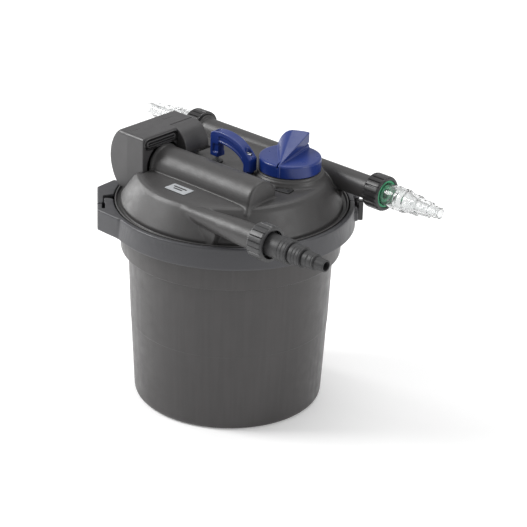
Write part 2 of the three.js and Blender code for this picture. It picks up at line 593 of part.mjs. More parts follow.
// ---------- selector knob ----------
// The grip is a half cone: its point is on the knob's rim, its back an arch on a straight chord.
function gripSolid() {
  const { tip, left, right, rise, rightRise, arch } = GRIP;
  const footZ = KNOB.topZ - 1;
  const rising = new THREE.CubicBezierCurve(
    new THREE.Vector2(0, 1), new THREE.Vector2(0.08, 0.6 * rise), new THREE.Vector2(0.28, 1.03 * rise),
    new THREE.Vector2(0.55, rise));
  const falling = new THREE.QuadraticBezierCurve(
    new THREE.Vector2(0.55, rise), new THREE.Vector2(0.8, rise - 0.5), new THREE.Vector2(1, rightRise));
  const points = [tip, left, right].map(([x, y]) => new THREE.Vector3(x, y, footZ));
  for (const { x: along, y: height } of [...rising.getPoints(arch), ...falling.getPoints(3).slice(1)]) {
    const x = left[0] + (right[0] - left[0]) * along;
    const y = left[1] + (right[1] - left[1]) * along;
    points.push(new THREE.Vector3(x, y, KNOB.topZ + height));
  }
  return toSolid(new ConvexGeometry(points));
}

function knobSolid() {
  const { r, lowZ, topZ, skin, edge, hubR, spindleR } = KNOB;
  const cap = turned([
    [0, lowZ], [r, lowZ], [r, topZ - edge], [r - 0.3 * edge, topZ - 0.3 * edge], [r - edge, topZ], [0, topZ],
  ], MID);
  const hollow = turned([[0, lowZ - PAST], [r - skin, lowZ - PAST], [r - skin, topZ - skin], [0, topZ - skin]], MID);
  const hub = post(hubR, 0, 0, lowZ + 0.5, topZ - 1, FINE);
  const socket = post(spindleR + GAP, 0, 0, lowZ - PAST, topZ - skin, FINE);
  return cut(join(cut(join(cap, gripSolid()), hollow), hub), socket).translate([KNOB.x, KNOB.y, 0]);
}

function selector() {
  const { x, y, spindleR, topZ, skin } = KNOB;
  add(filter, 'selector_knob', knobSolid(), 'blue');
  const ports = [[ROTOR.portAt, 0], [0, ROTOR.portAt]].map(([dx, dy]) =>
    post(ROTOR.portR, x + dx, y + dy, ROTOR.lowZ - PAST, ROTOR.topZ + PAST, SMALL));
  const rotor = join(
    post(spindleR, x, y, ROTOR.lowZ, topZ - skin - GAP, FINE), post(ROTOR.r, x, y, ROTOR.lowZ, ROTOR.topZ, MID));
  add(filter, 'valve_rotor', cut(rotor, ...ports), 'black');
  const innerR = spindleR + GAP;
  const outerR = spindleR + 4;
  const topOfSeal = TURRET.topZ - LID.wall - GAP;
  const lowOfSeal = topOfSeal - 4;
  add(filter, 'spindle_seal', turned([
    [innerR, lowOfSeal], [outerR, lowOfSeal], [outerR, topOfSeal], [innerR, topOfSeal], [innerR, lowOfSeal],
  ], FINE).translate([x, y, 0]), 'rubber');
}

// ---------- UV clarifier head ----------
// Side outline: flat top, underside and inner face, and an outer end that is one arc.
function headShape(inset) {
  const { lowZ, topZ, faceX, flatX, bulge } = HEAD;
  const half = (topZ - lowZ) / 2;
  const r = (half * half + bulge * bulge) / (2 * bulge);
  const centreX = flatX - bulge + r;
  const spread = Math.asin((half - inset) / (r - inset));
  const shape = new THREE.Shape();
  shape.moveTo(faceX - inset, lowZ + inset);
  shape.lineTo(faceX - inset, topZ - inset);
  shape.lineTo(centreX - (r - inset) * Math.cos(spread), topZ - inset);
  shape.absarc(centreX, (lowZ + topZ) / 2, r - inset, Math.PI - spread, Math.PI + spread, false);
  shape.closePath();
  return shape;
}

function headCover() {
  const { frontY, backY, wall, faceX, flatX, lowZ, topZ, bulge, taperX, taper, tubeGap } = HEAD;
  const plan = outline([
    [flatX - bulge - PAST, frontY + taper], [taperX, frontY], [faceX, frontY], [faceX, backY],
    [flatX - bulge - PAST, backY],
  ]);
  const outside = prismY(headShape(0), frontY, backY, 8).intersect(prism(plan, lowZ - PAST, topZ + PAST));
  const dashes = [-1, 0].map((step) =>
    plate({ ...DASH, y: DASH.y + step * DASH.pitch, lowZ: topZ - 0.5, thick: DASH.height + 0.5, turn: 90 }));
  return cut(
    join(outside, ...dashes),
    prismY(headShape(wall), frontY + wall + taper, backY - wall, 8),
    block(flatX, faceX - wall, frontY + wall + taper, backY - wall, lowZ - PAST, lowZ + wall + PAST),
    barX(LAMP_TUBE.r + tubeGap, faceX - 2 * wall, faceX + PAST, LAMP_TUBE.y, LAMP_TUBE.z, MID),
    block(faceX - LATCH.depth - LATCH.travel - GAP, faceX + PAST, LATCH.frontY - GAP, LATCH.backY + GAP,
      LATCH.lowZ - GAP, LATCH.topZ + GAP),
    block(HOOD.x, faceX + PAST, HOOD.frontY, backY + PAST, HOOD.z - GAP, topZ + PAST),
    barY(CABLE.nutR - 2.6, backY - 2 * wall, backY + PAST, CABLE.glandX, CABLE.glandZ, SMALL),
  );
}

function headHood() {
  const { x, r, z, frontY, backY, screwIn, screwUp, screwR } = HOOD;
  const shape = new THREE.Shape();
  shape.moveTo(x + GAP, z);
  shape.lineTo(x + r, z);
  shape.bezierCurveTo(x + r, z + 0.6 * r, x + 0.6 * r, HEAD.topZ, x + GAP, HEAD.topZ);
  shape.closePath();
  const screwX = x + screwIn;
  const screwZ = z + screwUp;
  const seat = barY(screwR + GAP, backY - 3, backY + PAST, screwX, screwZ, SMALL);
  add(filter, 'head_hood', cut(prismY(shape, frontY + GAP, backY, 8), seat), 'anthracite');
  add(filter, 'head_screw', barY(screwR, backY - 2.7, backY, screwX, screwZ, SMALL), 'steel');
}

function uvHead() {
  add(filter, 'head_cover', headCover(), 'anthracite');
  headHood();
  const { frontY, backY, lowZ, wall, faceX, taper } = HEAD;
  const { y, z } = LAMP_TUBE;
  const { lowX: baseX, thick, plugR, plugStart, plugEnd, seatEnd } = BASE;
  const margin = wall + taper + 1;
  const base = join(
    block(baseX, faceX - wall - 1, frontY + margin, backY - margin, lowZ + 0.5, lowZ + thick),
    block(plugStart, plugStart + thick, y - plugR, y + plugR, lowZ + thick - 1, z),
    barX(plugR, plugStart, plugEnd, y, z, MID),
  );
  add(filter, 'head_base', cut(base, barX(SLEEVE.r + 2 * GAP, plugStart - PAST, seatEnd, y, z, FINE)), 'black');
  const floor = lowZ + thick + GAP;
  const { lowX, highX, frontY: ballastFront, backY: ballastBack, height } = BALLAST;
  add(filter, 'ballast', block(lowX, highX, ballastFront, ballastBack, floor, floor + height), 'steel');

  const latch = block(
    faceX - LATCH.depth, faceX + LATCH.proud, LATCH.frontY, LATCH.backY, LATCH.lowZ, LATCH.topZ);
  const grooves = Array.from({ length: LATCH.grooves }, (_, row) => {
    const low = LATCH.lowZ + 1.5 + row * LATCH.pitch;
    const { frontY: start, backY: end, grip, pitch, proud } = LATCH;
    return block(faceX, faceX + proud + PAST, start + grip, end - grip, low, low + pitch / 2);
  });
  add(filter, 'head_latch', cut(latch, ...grooves), 'anthracite');
}

function uvLamp() {
  const { y, z, bore } = LAMP_TUBE;
  const { r, wall, startX, endX, tip } = SLEEVE;
  add(filter, 'quartz_sleeve', turnedX([
    [r - wall, startX], [r, startX], [r, endX - tip], [r - tip / 2, endX], [0, endX],
    [0, endX - wall], [r - wall - tip / 2, endX - wall], [r - wall, endX - tip], [r - wall, startX],
  ], FINE, y, z), 'clear');
  const legs = [-1, 1].map((side) => barX(LAMP.r, LAMP.startX, LAMP.endX, y + side * LAMP.spread, z, SMALL));
  const { endX: lampEnd, bridge, spread } = LAMP;
  const link = block(lampEnd - 2 * bridge, lampEnd - bridge, y - spread, y + spread, z - bridge / 2, z + bridge / 2);
  add(filter, 'uv_lamp', join(...legs, link), 'white');
  const { r: holderR, startX: holderStart, endX: holderEnd } = LAMP_HOLDER;
  add(filter, 'lamp_holder', barX(holderR, holderStart, holderEnd, y, z, FINE), 'black');
  const sealStart = BASE.plugEnd + GAP;
  add(filter, 'sleeve_seal', tubeX(r + GAP, bore - 0.6, sealStart, sealStart + 4, FINE, y, z), 'rubber');
}

function mainsCable() {
  const { r, glandX, glandZ, bore, nutR } = CABLE;
  const { backY, wall } = HEAD;
  const neckR = nutR - 3;
  const gland = turned([
    [bore, 0], [neckR, 0], [neckR, wall + GAP], [nutR, wall + GAP], [nutR, wall + 4], [neckR, wall + 7],
    [bore, wall + 7], [bore, 0],
  ], SMALL);
  add(filter, 'cable_gland', gland.rotate([-90, 0, 0]).translate([glandX, backY - wall, glandZ]), 'black');
  const path = new THREE.CatmullRomCurve3([
    [glandX, backY - wall, glandZ], [glandX, backY + 5, glandZ], ...CABLE_RUN,
  ].map((point) => new THREE.Vector3(...point)), false, 'catmullrom', CABLE.stiffness);
  const section = outline(arc(r, 0, 300, 5));
  const cable = new THREE.ExtrudeGeometry(section, { extrudePath: path, steps: 40 });
  add(filter, 'mains_cable', toSolid(cable), 'rubber');
}

// ---------- union nuts and stepped hose adapters ----------
// Everything of one union is built along +X from the end of its tube.
function nutSolid(ribWidth) {
  const { nutR, nutRootR, nutLength, nutEdge, boreR, mouthR, mouthDepth, ribs } = UNION;
  const body = turnedX([
    [boreR, 0], [nutRootR, 0], [nutRootR, nutLength - nutEdge], [nutRootR - nutEdge, nutLength], [mouthR, nutLength],
    [mouthR, nutLength - mouthDepth], [boreR, nutLength - mouthDepth], [boreR, 0],
  ], ribs, 0, 0);
  const root = nutRootR - 1;
  const rib = new THREE.BoxGeometry(nutLength - 2 * nutEdge, ribWidth, nutR - root);
  rib.translate(nutLength / 2, 0, (nutR + root) / 2);
  const ribSolids = Array.from({ length: ribs }, (_, i) => toSolid(rib.clone().rotateX((i * 2 * Math.PI) / ribs)));
  return join(body, ...ribSolids);
}

function adapterSolid() {
  const { nutLength, flangeR, flangeAt, flangeLength } = UNION;
  const { wideR, wideTo, narrowR, narrowFrom } = HOSE_BORE;
  const profile = [[wideR, flangeAt], [flangeR, flangeAt], [flangeR, flangeAt + flangeLength]];
  let from = flangeAt + flangeLength;
  for (const [r, end] of HOSE_STEPS) {
    profile.push([r, from], [r - 0.4, nutLength + end]);
    from = nutLength + end;
  }
  profile.push([narrowR, from], [narrowR, nutLength + narrowFrom], [wideR, nutLength + wideTo], [wideR, flangeAt]);
  return turnedX(profile, FINE, 0, 0);
}

function hoseUnion({ name, endX, tube, outward, nutLook, adapterLook, ribWidth, insertLook }) {
  const { threadLength, flangeAt, flangeLength, nutLength } = UNION;
  const group = new THREE.Group();
  group.position.set(endX, tube.y, tube.z);
  group.rotation.z = outward > 0 ? 0 : Math.PI;
  filter.add(group);
  add(group, `${name}_nut`, nutSolid(ribWidth), nutLook);
  add(group, `${name}_adapter`, adapterSolid(), adapterLook);
  const seal = tubeX(HOSE_BORE.wideR + 1, UNION.threadR - 1, threadLength + GAP, flangeAt - GAP, FINE, 0, 0);
  add(group, `${name}_flat_seal`, seal, 'rubber');
  if (insertLook) {
    const start = flangeAt + flangeLength + GAP;
    const ring = tubeX(INSERT.innerR, INSERT.outerR, start, nutLength - 1, FINE, 0, 0);
    add(group, `${name}_insert`, ring, insertLook);
  }
}

// ---------- assembly ----------
add(filter, 'container', containerSolid(), 'anthracite');
clampRing();
clampLever();
lid();
filterStack();
cleaningHandle();
selector();
uvHead();
uvLamp();
mainsCable();
hoseUnion({
  name: 'front', endX: FRONT_TUBE.endX, tube: FRONT_TUBE, outward: 1,
  nutLook: 'anthracite', adapterLook: 'black', ribWidth: 3.4,
});
hoseUnion({
  name: 'right', endX: REAR_TUBE.rightX, tube: REAR_TUBE, outward: 1,
  nutLook: 'black', adapterLook: 'clear', ribWidth: 5, insertLook: 'green',
});
hoseUnion({
  name: 'left', endX: REAR_TUBE.leftX, tube: REAR_TUBE, outward: -1,
  nutLook: 'black', adapterLook: 'clear', ribWidth: 5, insertLook: 'cream',
});

export default filter;
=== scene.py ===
import math

import bpy
import numpy as np
from mathutils import Matrix, Vector


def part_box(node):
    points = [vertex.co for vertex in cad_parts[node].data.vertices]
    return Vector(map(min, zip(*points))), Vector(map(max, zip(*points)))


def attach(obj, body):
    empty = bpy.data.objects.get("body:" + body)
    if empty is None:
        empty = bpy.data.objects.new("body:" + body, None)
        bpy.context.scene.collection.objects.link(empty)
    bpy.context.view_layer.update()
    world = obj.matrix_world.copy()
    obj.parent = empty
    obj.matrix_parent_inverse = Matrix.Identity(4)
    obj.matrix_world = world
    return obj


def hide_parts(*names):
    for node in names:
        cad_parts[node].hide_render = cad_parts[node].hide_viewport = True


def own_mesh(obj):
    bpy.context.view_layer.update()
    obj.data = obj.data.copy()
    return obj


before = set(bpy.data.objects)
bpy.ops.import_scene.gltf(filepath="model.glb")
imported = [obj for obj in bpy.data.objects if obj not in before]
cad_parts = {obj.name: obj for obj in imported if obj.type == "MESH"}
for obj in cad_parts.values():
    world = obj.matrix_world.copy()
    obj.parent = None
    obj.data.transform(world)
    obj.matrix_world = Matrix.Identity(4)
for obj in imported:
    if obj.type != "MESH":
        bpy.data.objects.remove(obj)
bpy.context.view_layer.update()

MM = 0.001


# ---- where the CAD pieces are
def span(node):
    """Lowest and highest corner of a CAD node, in millimetres."""
    low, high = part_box(node)
    return np.array(low) / MM, np.array(high) / MM


def middle(node):
    low, high = span(node)
    return (low + high) / 2


# ---- signed distance fields
def polygon_distance(px, py, points):
    """Signed distance to a closed outline, negative inside."""
    points = [(float(a), float(b)) for a, b in points]
    shape = np.broadcast(px, py).shape
    best = np.full(shape, 1e9, np.float32)
    inside = np.zeros(shape, bool)
    for (ax, ay), (bx, by) in zip(points, points[1:] + points[:1]):
        ex, ey = bx - ax, by - ay
        length = ex * ex + ey * ey
        if length < 1e-9:
            continue
        wx, wy = px - ax, py - ay
        t = np.clip((wx * ex + wy * ey) / length, 0, 1)
        best = np.minimum(best, (wx - ex * t) ** 2 + (wy - ey * t) ** 2)
        if abs(ey) > 1e-9:
            inside ^= ((ay > py) != (by > py)) & (wx < wy * ex / ey)
    return np.where(inside, -1, 1) * np.sqrt(best)


def blend(a, b, k):
    """Joins two fields with a fillet of about k."""
    h = np.clip(0.5 + 0.5 * (b - a) / k, 0, 1)
    return b + (a - b) * h - k * h * (1 - h)


def carve(a, b, k=0.6):
    """Field a with field b taken away, its new edges rounded by about k."""
    return -blend(-a, b, k)


def common(a, b, k=0.6):
    return -blend(-a, -b, k)


class Grid:
    """A regular grid of sample points, in millimetres."""

    def __init__(self, low, high, step):
        self.step = step
        self.low = np.array(low, np.float32)
        counts = [int(math.ceil((h - l) / step)) + 1 for l, h in zip(low, high)]
        self.axes = [np.float32(l) + step * np.arange(n, dtype=np.float32) for l, n in zip(low, counts)]
        self.x = self.axes[0][:, None, None]
        self.y = self.axes[1][None, :, None]
        self.z = self.axes[2][None, None, :]
        self.shape = tuple(counts)

    def solid(self, d):
        return np.broadcast_to(d, self.shape).astype(np.float32)

    def turned_z(self, profile, cx=0.0, cy=0.0):
        """A body of revolution about a vertical line; the outline is [radius, z]."""
        radius = np.hypot(self.axes[0][:, None] - cx, self.axes[1][None, :] - cy)
        return self._turned(profile, radius, self.axes[2])

    def turned_x(self, profile, cy, cz):
        radius = np.hypot(self.axes[1][:, None] - cy, self.axes[2][None, :] - cz)
        return self._turned(profile, radius, self.axes[0]).transpose(2, 0, 1)

    def _turned(self, profile, radius, along):
        pitch = 0.5
        rows = np.arange(0, radius.max() + 2 * pitch, pitch, dtype=np.float32)
        table = polygon_distance(rows[:, None], along[None, :], profile).astype(np.float32)
        at = radius / pitch
        first = at.astype(int)
        part = (at - first)[..., None].astype(np.float32)
        return table[first] * (1 - part) + table[first + 1] * part

    def slab(self, flat, t, low, high, edge=0.0):
        """A flat outline field run along t from low to high, its edges rounded."""
        a = flat + edge
        b = np.abs(t - (low + high) / 2) - (high - low) / 2 + edge
        return np.minimum(np.maximum(a, b), 0) + np.hypot(np.maximum(a, 0), np.maximum(b, 0)) - edge

    def prism_z(self, points, low, high, edge=0.0):
        return self.slab(polygon_distance(self.x, self.y, points), self.z, low, high, edge)

    def prism_y(self, points, low, high, edge=0.0):
        return self.slab(polygon_distance(self.x, self.z, points), self.y, low, high, edge)

    def rod_z(self, cx, cy, r, low, high, edge=0.0):
        """An upright round rod; rod_x and rod_y lie along the other axes."""
        return self.slab(np.hypot(self.x - cx, self.y - cy) - r, self.z, low, high, edge)

    def rod_x(self, cy, cz, r, low, high, edge=0.0):
        return self.slab(np.hypot(self.y - cy, self.z - cz) - r, self.x, low, high, edge)

    def rod_y(self, cx, cz, r, low, high):
        return self.slab(np.hypot(self.x - cx, self.z - cz) - r, self.y, low, high)

    def tilted(self, cx, cy, turn):
        """Plan coordinates about a point, with the first axis turned from x by an angle."""
        cos, sin = math.cos(turn), math.sin(turn)
        u = (self.x - cx) * cos + (self.y - cy) * sin
        return u, -(self.x - cx) * sin + (self.y - cy) * cos

    def pill_x(self, low, high, end=6):
        """Distance from the middle line of a rounded bar that faces x and fills the box, less its ends."""
        mid_y, mid_z = (low[1] + high[1]) / 2, (low[2] + high[2]) / 2
        reach = (high[1] - low[1]) / 2 - end
        return np.hypot(np.maximum(np.abs(self.y - mid_y) - reach, 0), self.z - mid_z)

    def box(self, low, high, edge=0.0):
        q = []
        for t, l, h in zip((self.x, self.y, self.z), low, high):
            q.append(np.abs(t - (l + h) / 2) - (h - l) / 2 + edge)
        outside = np.sqrt(sum(np.maximum(v, 0) ** 2 for v in q))
        return outside + np.minimum(np.maximum(np.maximum(q[0], q[1]), q[2]), 0) - edge


CORNERS = [(i, j, k) for i in (0, 1) for j in (0, 1) for k in (0, 1)]
CELL_EDGES = [(a, b) for a in range(8) for b in range(a + 1, 8)
              if sum(abs(p - q) for p, q in zip(CORNERS[a], CORNERS[b])) == 1]


def skin(grid, d):
    """The zero surface of a field as quads, one vertex in each crossed cell, with the field's normals."""
    d = grid.solid(d)
    inside = d < 0
    count = sum(inside[i:i + d.shape[0] - 1, j:j + d.shape[1] - 1, k:k + d.shape[2] - 1].astype(np.int8)
                for i, j, k in CORNERS)
    cells = np.argwhere((count > 0) & (count < 8))
    number = np.full(count.shape, -1, np.int32)
    number[tuple(cells.T)] = np.arange(len(cells))
    values = np.stack([d[tuple((cells + c).T)] for c in CORNERS], 1)
    total = np.zeros((len(cells), 3))
    hits = np.zeros(len(cells))
    for a, b in CELL_EDGES:
        va, vb = values[:, a], values[:, b]
        crossed = (va < 0) != (vb < 0)
        t = np.where(crossed, va / np.where(crossed, va - vb, 1), 0)[:, None]
        point = np.array(CORNERS[a]) + t * (np.array(CORNERS[b]) - np.array(CORNERS[a]))
        total += np.where(crossed[:, None], point, 0)
        hits += crossed
    place = cells + total / hits[:, None]
    slopes = [np.gradient(d, axis=k) for k in range(3)]
    limit = np.array(d.shape) - 1.001
    for _ in range(3):
        value, normal = sample(d, slopes, np.clip(place, 0, limit))
        move = value / grid.step
        place = place - np.clip(move, -0.4, 0.4)[:, None] * normal
    _, normal = sample(d, slopes, np.clip(place, 0, limit))
    faces = []
    for axis in range(3):
        u, v = (axis + 1) % 3, (axis + 2) % 3
        low = np.take(inside, range(0, d.shape[axis] - 1), axis)
        high = np.take(inside, range(1, d.shape[axis]), axis)
        edges = np.argwhere(low != high)
        within = (edges[:, u] > 0) & (edges[:, v] > 0)
        within &= (edges[:, u] < d.shape[u] - 1) & (edges[:, v] < d.shape[v] - 1)
        edges = edges[within]
        ring = []
        for du, dv in ((1, 1), (0, 1), (0, 0), (1, 0)):
            cell = edges.copy()
            cell[:, u] -= du
            cell[:, v] -= dv
            ring.append(number[tuple(cell.T)])
        quads = np.stack(ring, 1)
        outward = inside[tuple(edges.T)]
        quads[~outward] = quads[~outward][:, ::-1]
        faces.append(quads)
    return grid.low + place * grid.step, np.concatenate(faces), normal


def sample(d, slopes, place):
    """Field value and unit normal at points given in cells, between the samples."""
    first = np.floor(place).astype(int)
    part = place - first
    value = np.zeros(len(place))
    slope = np.zeros((len(place), 3))
    for corner in CORNERS:
        weight = np.prod(np.where(np.array(corner) == 1, part, 1 - part), 1)
        at = tuple((first + corner).T)
        value += weight * d[at]
        for k in range(3):
            slope[:, k] += weight * slopes[k][at]
    length = np.linalg.norm(slope, axis=1, keepdims=True)
    return value, slope / np.maximum(length, 1e-9)


# ---- outlines
def rounded(points, radius, steps=5):
    """A closed outline with its corners rounded; radius is one number or one per corner."""
    points = [np.array(p[:2], float) for p in points]
    radii = radius if isinstance(radius, (list, tuple)) else [radius] * len(points)
    out = []
    for i, (corner, r) in enumerate(zip(points, radii)):
        back, ahead = points[i - 1] - corner, points[(i + 1) % len(points)] - corner
        lb, la = np.linalg.norm(back), np.linalg.norm(ahead)
        back, ahead = back / lb, ahead / la
        half = math.acos(max(-1, min(1, float(back @ ahead)))) / 2
        reach = min(r / max(math.tan(half), 1e-6), 0.49 * lb, 0.49 * la)
        if r <= 0 or half > 1.55:
            out.append(tuple(corner))
            continue
        start, end = corner + back * reach, corner + ahead * reach
        for s in range(steps + 1):
            t = s / steps
            out.append(tuple((1 - t) ** 2 * start + 2 * t * (1 - t) * corner + t * t * end))
    return out


def bezier(p0, p1, p2, p3, steps=12):
    p0, p1, p2, p3 = (np.array(p, float) for p in (p0, p1, p2, p3))
    out = []
    for i in range(steps + 1):
        t = i / steps
        u = 1 - t
        out.append(tuple(u ** 3 * p0 + 3 * t * u ** 2 * p1 + 3 * t * t * u * p2 + t ** 3 * p3))
    return out


def arc(cx, cy, r, start, end, steps=12):
    turns = [math.radians(start + (end - start) * i / steps) for i in range(steps + 1)]
    return [(cx + r * math.cos(t), cy + r * math.sin(t)) for t in turns]


def rectangle(x0, y0, x1, y1):
    return [(x0, y0), (x1, y0), (x1, y1), (x0, y1)]


def polar(r, degrees):
    return r * math.cos(math.radians(degrees)), r * math.sin(math.radians(degrees))


# ---- pieces
def add(name, data):
    """A new object in the scene."""
    obj = bpy.data.objects.new(name, data)
    bpy.context.scene.collection.objects.link(obj)
    return obj


def piece(name, points, faces, body, slot, material, nodes=(), normals=None):
    """A new smooth piece from points in millimetres."""
    mesh = bpy.data.meshes.new(name)
    mesh.from_pydata((np.asarray(points) * MM).tolist(), [], [list(map(int, f)) for f in faces])
    mesh.polygons.foreach_set("use_smooth", [True] * len(mesh.polygons))
    if normals is not None:
        mesh.normals_split_custom_set_from_vertices(np.asarray(normals).tolist())
    mesh.materials.append(material)
    obj = add(name, mesh)
    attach(obj, body)
    if nodes:
        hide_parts(*nodes)
    return obj


def field_piece(name, grid, d, body, slot, material, nodes=()):
    points, faces, normals = skin(grid, d)
    return piece(name, points, faces, body, slot, material, nodes, normals)


def lathe(profile, turns, centre=(0, 0, 0), axis="z", swell=None):
    """Points and faces of a closed outline [radius, along] turned about an axis; radius 0 is a pole."""
    turns = np.asarray(turns, float)
    points, rows = [], []
    for r, t in profile:
        if r < 1e-6:
            rows.append([len(points)])
            points.append((0.0, 0.0, t))
            continue
        rows.append(list(range(len(points), len(points) + len(turns))))
        for turn in turns:
            rr = r + (swell(turn, r, t) if swell else 0.0)
            points.append((rr * math.cos(turn), rr * math.sin(turn), t))
    faces = []
    n = len(turns)
    closed = profile[0][0] > 1e-6 or profile[-1][0] > 1e-6
    pairs = list(zip(rows, rows[1:] + rows[:1])) if closed else list(zip(rows, rows[1:]))
    for a, b in pairs:
        for i in range(n):
            j = (i + 1) % n
            if len(a) == 1 and len(b) > 1:
                faces.append((a[0], b[j], b[i]))
            elif len(b) == 1 and len(a) > 1:
                faces.append((a[i], a[j], b[0]))
            elif len(a) > 1 and len(b) > 1:
                faces.append((a[i], a[j], b[j], b[i]))
    points = np.array(points)
    area = sum(p[0] * q[1] - q[0] * p[1] for p, q in zip(profile, profile[1:] + profile[:1]))
    if area < 0:
        faces = [f[::-1] for f in faces]
    if axis == "x":
        points = points[:, [2, 0, 1]]
    elif axis == "-x":
        points = points[:, [2, 1, 0]] * np.array([-1, 1, 1])
    return points + np.array(centre), faces


def even_turns(n):
    return [2 * math.pi * i / n for i in range(n)]


def turned_piece(name, outline, turns, body, look, nodes=(), crease=40, **lathe_options):
    """A piece turned on the lathe, with creases; look is (slot, material), and the slot is not used."""
    points, faces = lathe(outline, turns, **lathe_options)
    obj = piece(name, points, faces, body, *look, nodes)
    sharp_by_angle(obj, crease)
    return obj


def sharp_by_angle(obj, degrees):
    """Shades a turned or extruded piece smooth, with creases where its faces meet at more than the angle."""
    mesh = obj.data
    mesh.update()
    limit = math.cos(math.radians(degrees))
    owners = {}
    for p in mesh.polygons:
        for key in p.edge_keys:
            owners.setdefault(key, []).append(p.normal)
    sharp = [False] * len(mesh.edges)
    for i, e in enumerate(mesh.edges):
        pair = owners.get(tuple(sorted(e.vertices)), [])
        sharp[i] = len(pair) == 2 and pair[0].dot(pair[1]) < limit
    layer = mesh.attributes.get("sharp_edge") or mesh.attributes.new("sharp_edge", "BOOLEAN", "EDGE")
    layer.data.foreach_set("value", sharp)


# ---- materials
class Nodes:
    """A small helper for building one node material."""

    def __init__(self, name):
        self.material = bpy.data.materials.new(name)
        self.material.use_nodes = True
        self.tree = self.material.node_tree
        self.bsdf = self.tree.nodes["Principled BSDF"]
        self.coords = self.tree.nodes.new("ShaderNodeTexCoord").outputs["Object"]

    def link(self, a, b):
        self.tree.links.new(a, b)

    def noise(self, scale, detail=2.0, stretch=None, rough=0.5):
        node = self.tree.nodes.new("ShaderNodeTexNoise")
        node.inputs["Scale"].default_value = scale
        node.inputs["Detail"].default_value = detail
        node.inputs["Roughness"].default_value = rough
        source = self.coords
        if stretch:
            mapping = self.tree.nodes.new("ShaderNodeMapping")
            mapping.inputs["Scale"].default_value = stretch
            self.link(source, mapping.inputs["Vector"])
            source = mapping.outputs["Vector"]
        self.link(source, node.inputs["Vector"])
        return node.outputs["Fac"]

    def voronoi(self, scale):
        node = self.tree.nodes.new("ShaderNodeTexVoronoi")
        node.inputs["Scale"].default_value = scale
        self.link(self.coords, node.inputs["Vector"])
        return node.outputs["Distance"]

    def remap(self, value, low, high, to_low, to_high):
        node = self.tree.nodes.new("ShaderNodeMapRange")
        for key, number in zip(("From Min", "From Max", "To Min", "To Max"), (low, high, to_low, to_high)):
            node.inputs[key].default_value = number
        self.link(value, node.inputs["Value"])
        return node.outputs["Result"]

    def fill(self, sockets, values):
        """Gives each socket a number or colour, or links another node's output to it."""
        for socket, value in zip(sockets, values):
            if isinstance(value, (int, float, tuple)):
                socket.default_value = value
            else:
                self.link(value, socket)

    def math(self, kind, a, b):
        node = self.tree.nodes.new("ShaderNodeMath")
        node.operation = kind
        self.fill(node.inputs, (a, b))
        return node.outputs["Value"]

    def mix(self, factor, a, b):
        node = self.tree.nodes.new("ShaderNodeMix")
        node.data_type = "RGBA"
        self.fill((node.inputs["Factor"], node.inputs[6], node.inputs[7]), (factor, a, b))
        return node.outputs[2]

    def shade(self, *values):
        """Sets the shader's colour, roughness and normal."""
        self.fill([self.bsdf.inputs[key] for key in ("Base Color", "Roughness", "Normal")], values)

    def bump(self, height, strength, distance, under=None):
        node = self.tree.nodes.new("ShaderNodeBump")
        node.inputs["Strength"].default_value = strength
        node.inputs["Distance"].default_value = distance
        self.link(height, node.inputs["Height"])
        if under is not None:
            self.link(under, node.inputs["Normal"])
        return node.outputs["Normal"]

    def edge(self, low, high):
        geometry = self.tree.nodes.new("ShaderNodeNewGeometry")
        return self.remap(geometry.outputs["Pointiness"], low, high, 0.0, 1.0)


def srgb(code, scale=1.0):
    values = [int(code[i:i + 2], 16) / 255 for i in (1, 3, 5)]
    linear = [v / 12.92 if v <= 0.04045 else ((v + 0.055) / 1.055) ** 2.4 for v in values]
    return tuple(min(1.0, v * scale) for v in linear) + (1.0,)


GRAIN_SCALE = 1500


def plastic(name, code, rough, grain, patch, wear=0.35, streaks=0.0, coat=0.0):
    """Moulded plastic: fine grain, slow colour drift, worn edges and, on the bucket, upright streaks."""
    m = Nodes(name)
    dark, light = srgb(code, 1 - patch), srgb(code, 1 + patch)
    drift = m.noise(14, 3)
    colour = m.mix(m.remap(drift, 0.3, 0.7, 0.0, 1.0), dark, light)
    speck = m.noise(GRAIN_SCALE * 0.5, 2)
    colour = m.mix(m.remap(speck, 0.35, 0.75, 0.0, min(0.45, grain)), colour, srgb(code, 1.6))
    rough_value = m.remap(m.noise(60, 4), 0.3, 0.7, rough - 0.05, rough + 0.06)
    if streaks:
        line = m.noise(120, 2, stretch=(1.0, 1.0, 0.02))
        colour = m.mix(m.remap(line, 0.42, 0.62, 0.0, streaks), colour, srgb(code, 1.45))
        rough_value = m.math("ADD", rough_value, m.remap(line, 0.3, 0.7, -0.04, 0.05))
    if wear:
        worn = m.math("MULTIPLY", m.edge(0.53, 0.62), m.remap(m.noise(90, 3), 0.4, 0.65, 0.3, 1.0))
        colour = m.mix(m.math("MULTIPLY", worn, wear), colour, srgb(code, 2.2))
    fine = m.bump(m.noise(GRAIN_SCALE, 3, rough=0.6), grain, 0.00025)
    m.shade(colour, rough_value, m.bump(m.noise(35, 2), 0.12, 0.0008, under=fine))
    m.bsdf.inputs["Specular IOR Level"].default_value = 0.5
    if coat:
        m.bsdf.inputs["Coat Weight"].default_value = coat
        m.bsdf.inputs["Coat Roughness"].default_value = 0.12
    return m.material


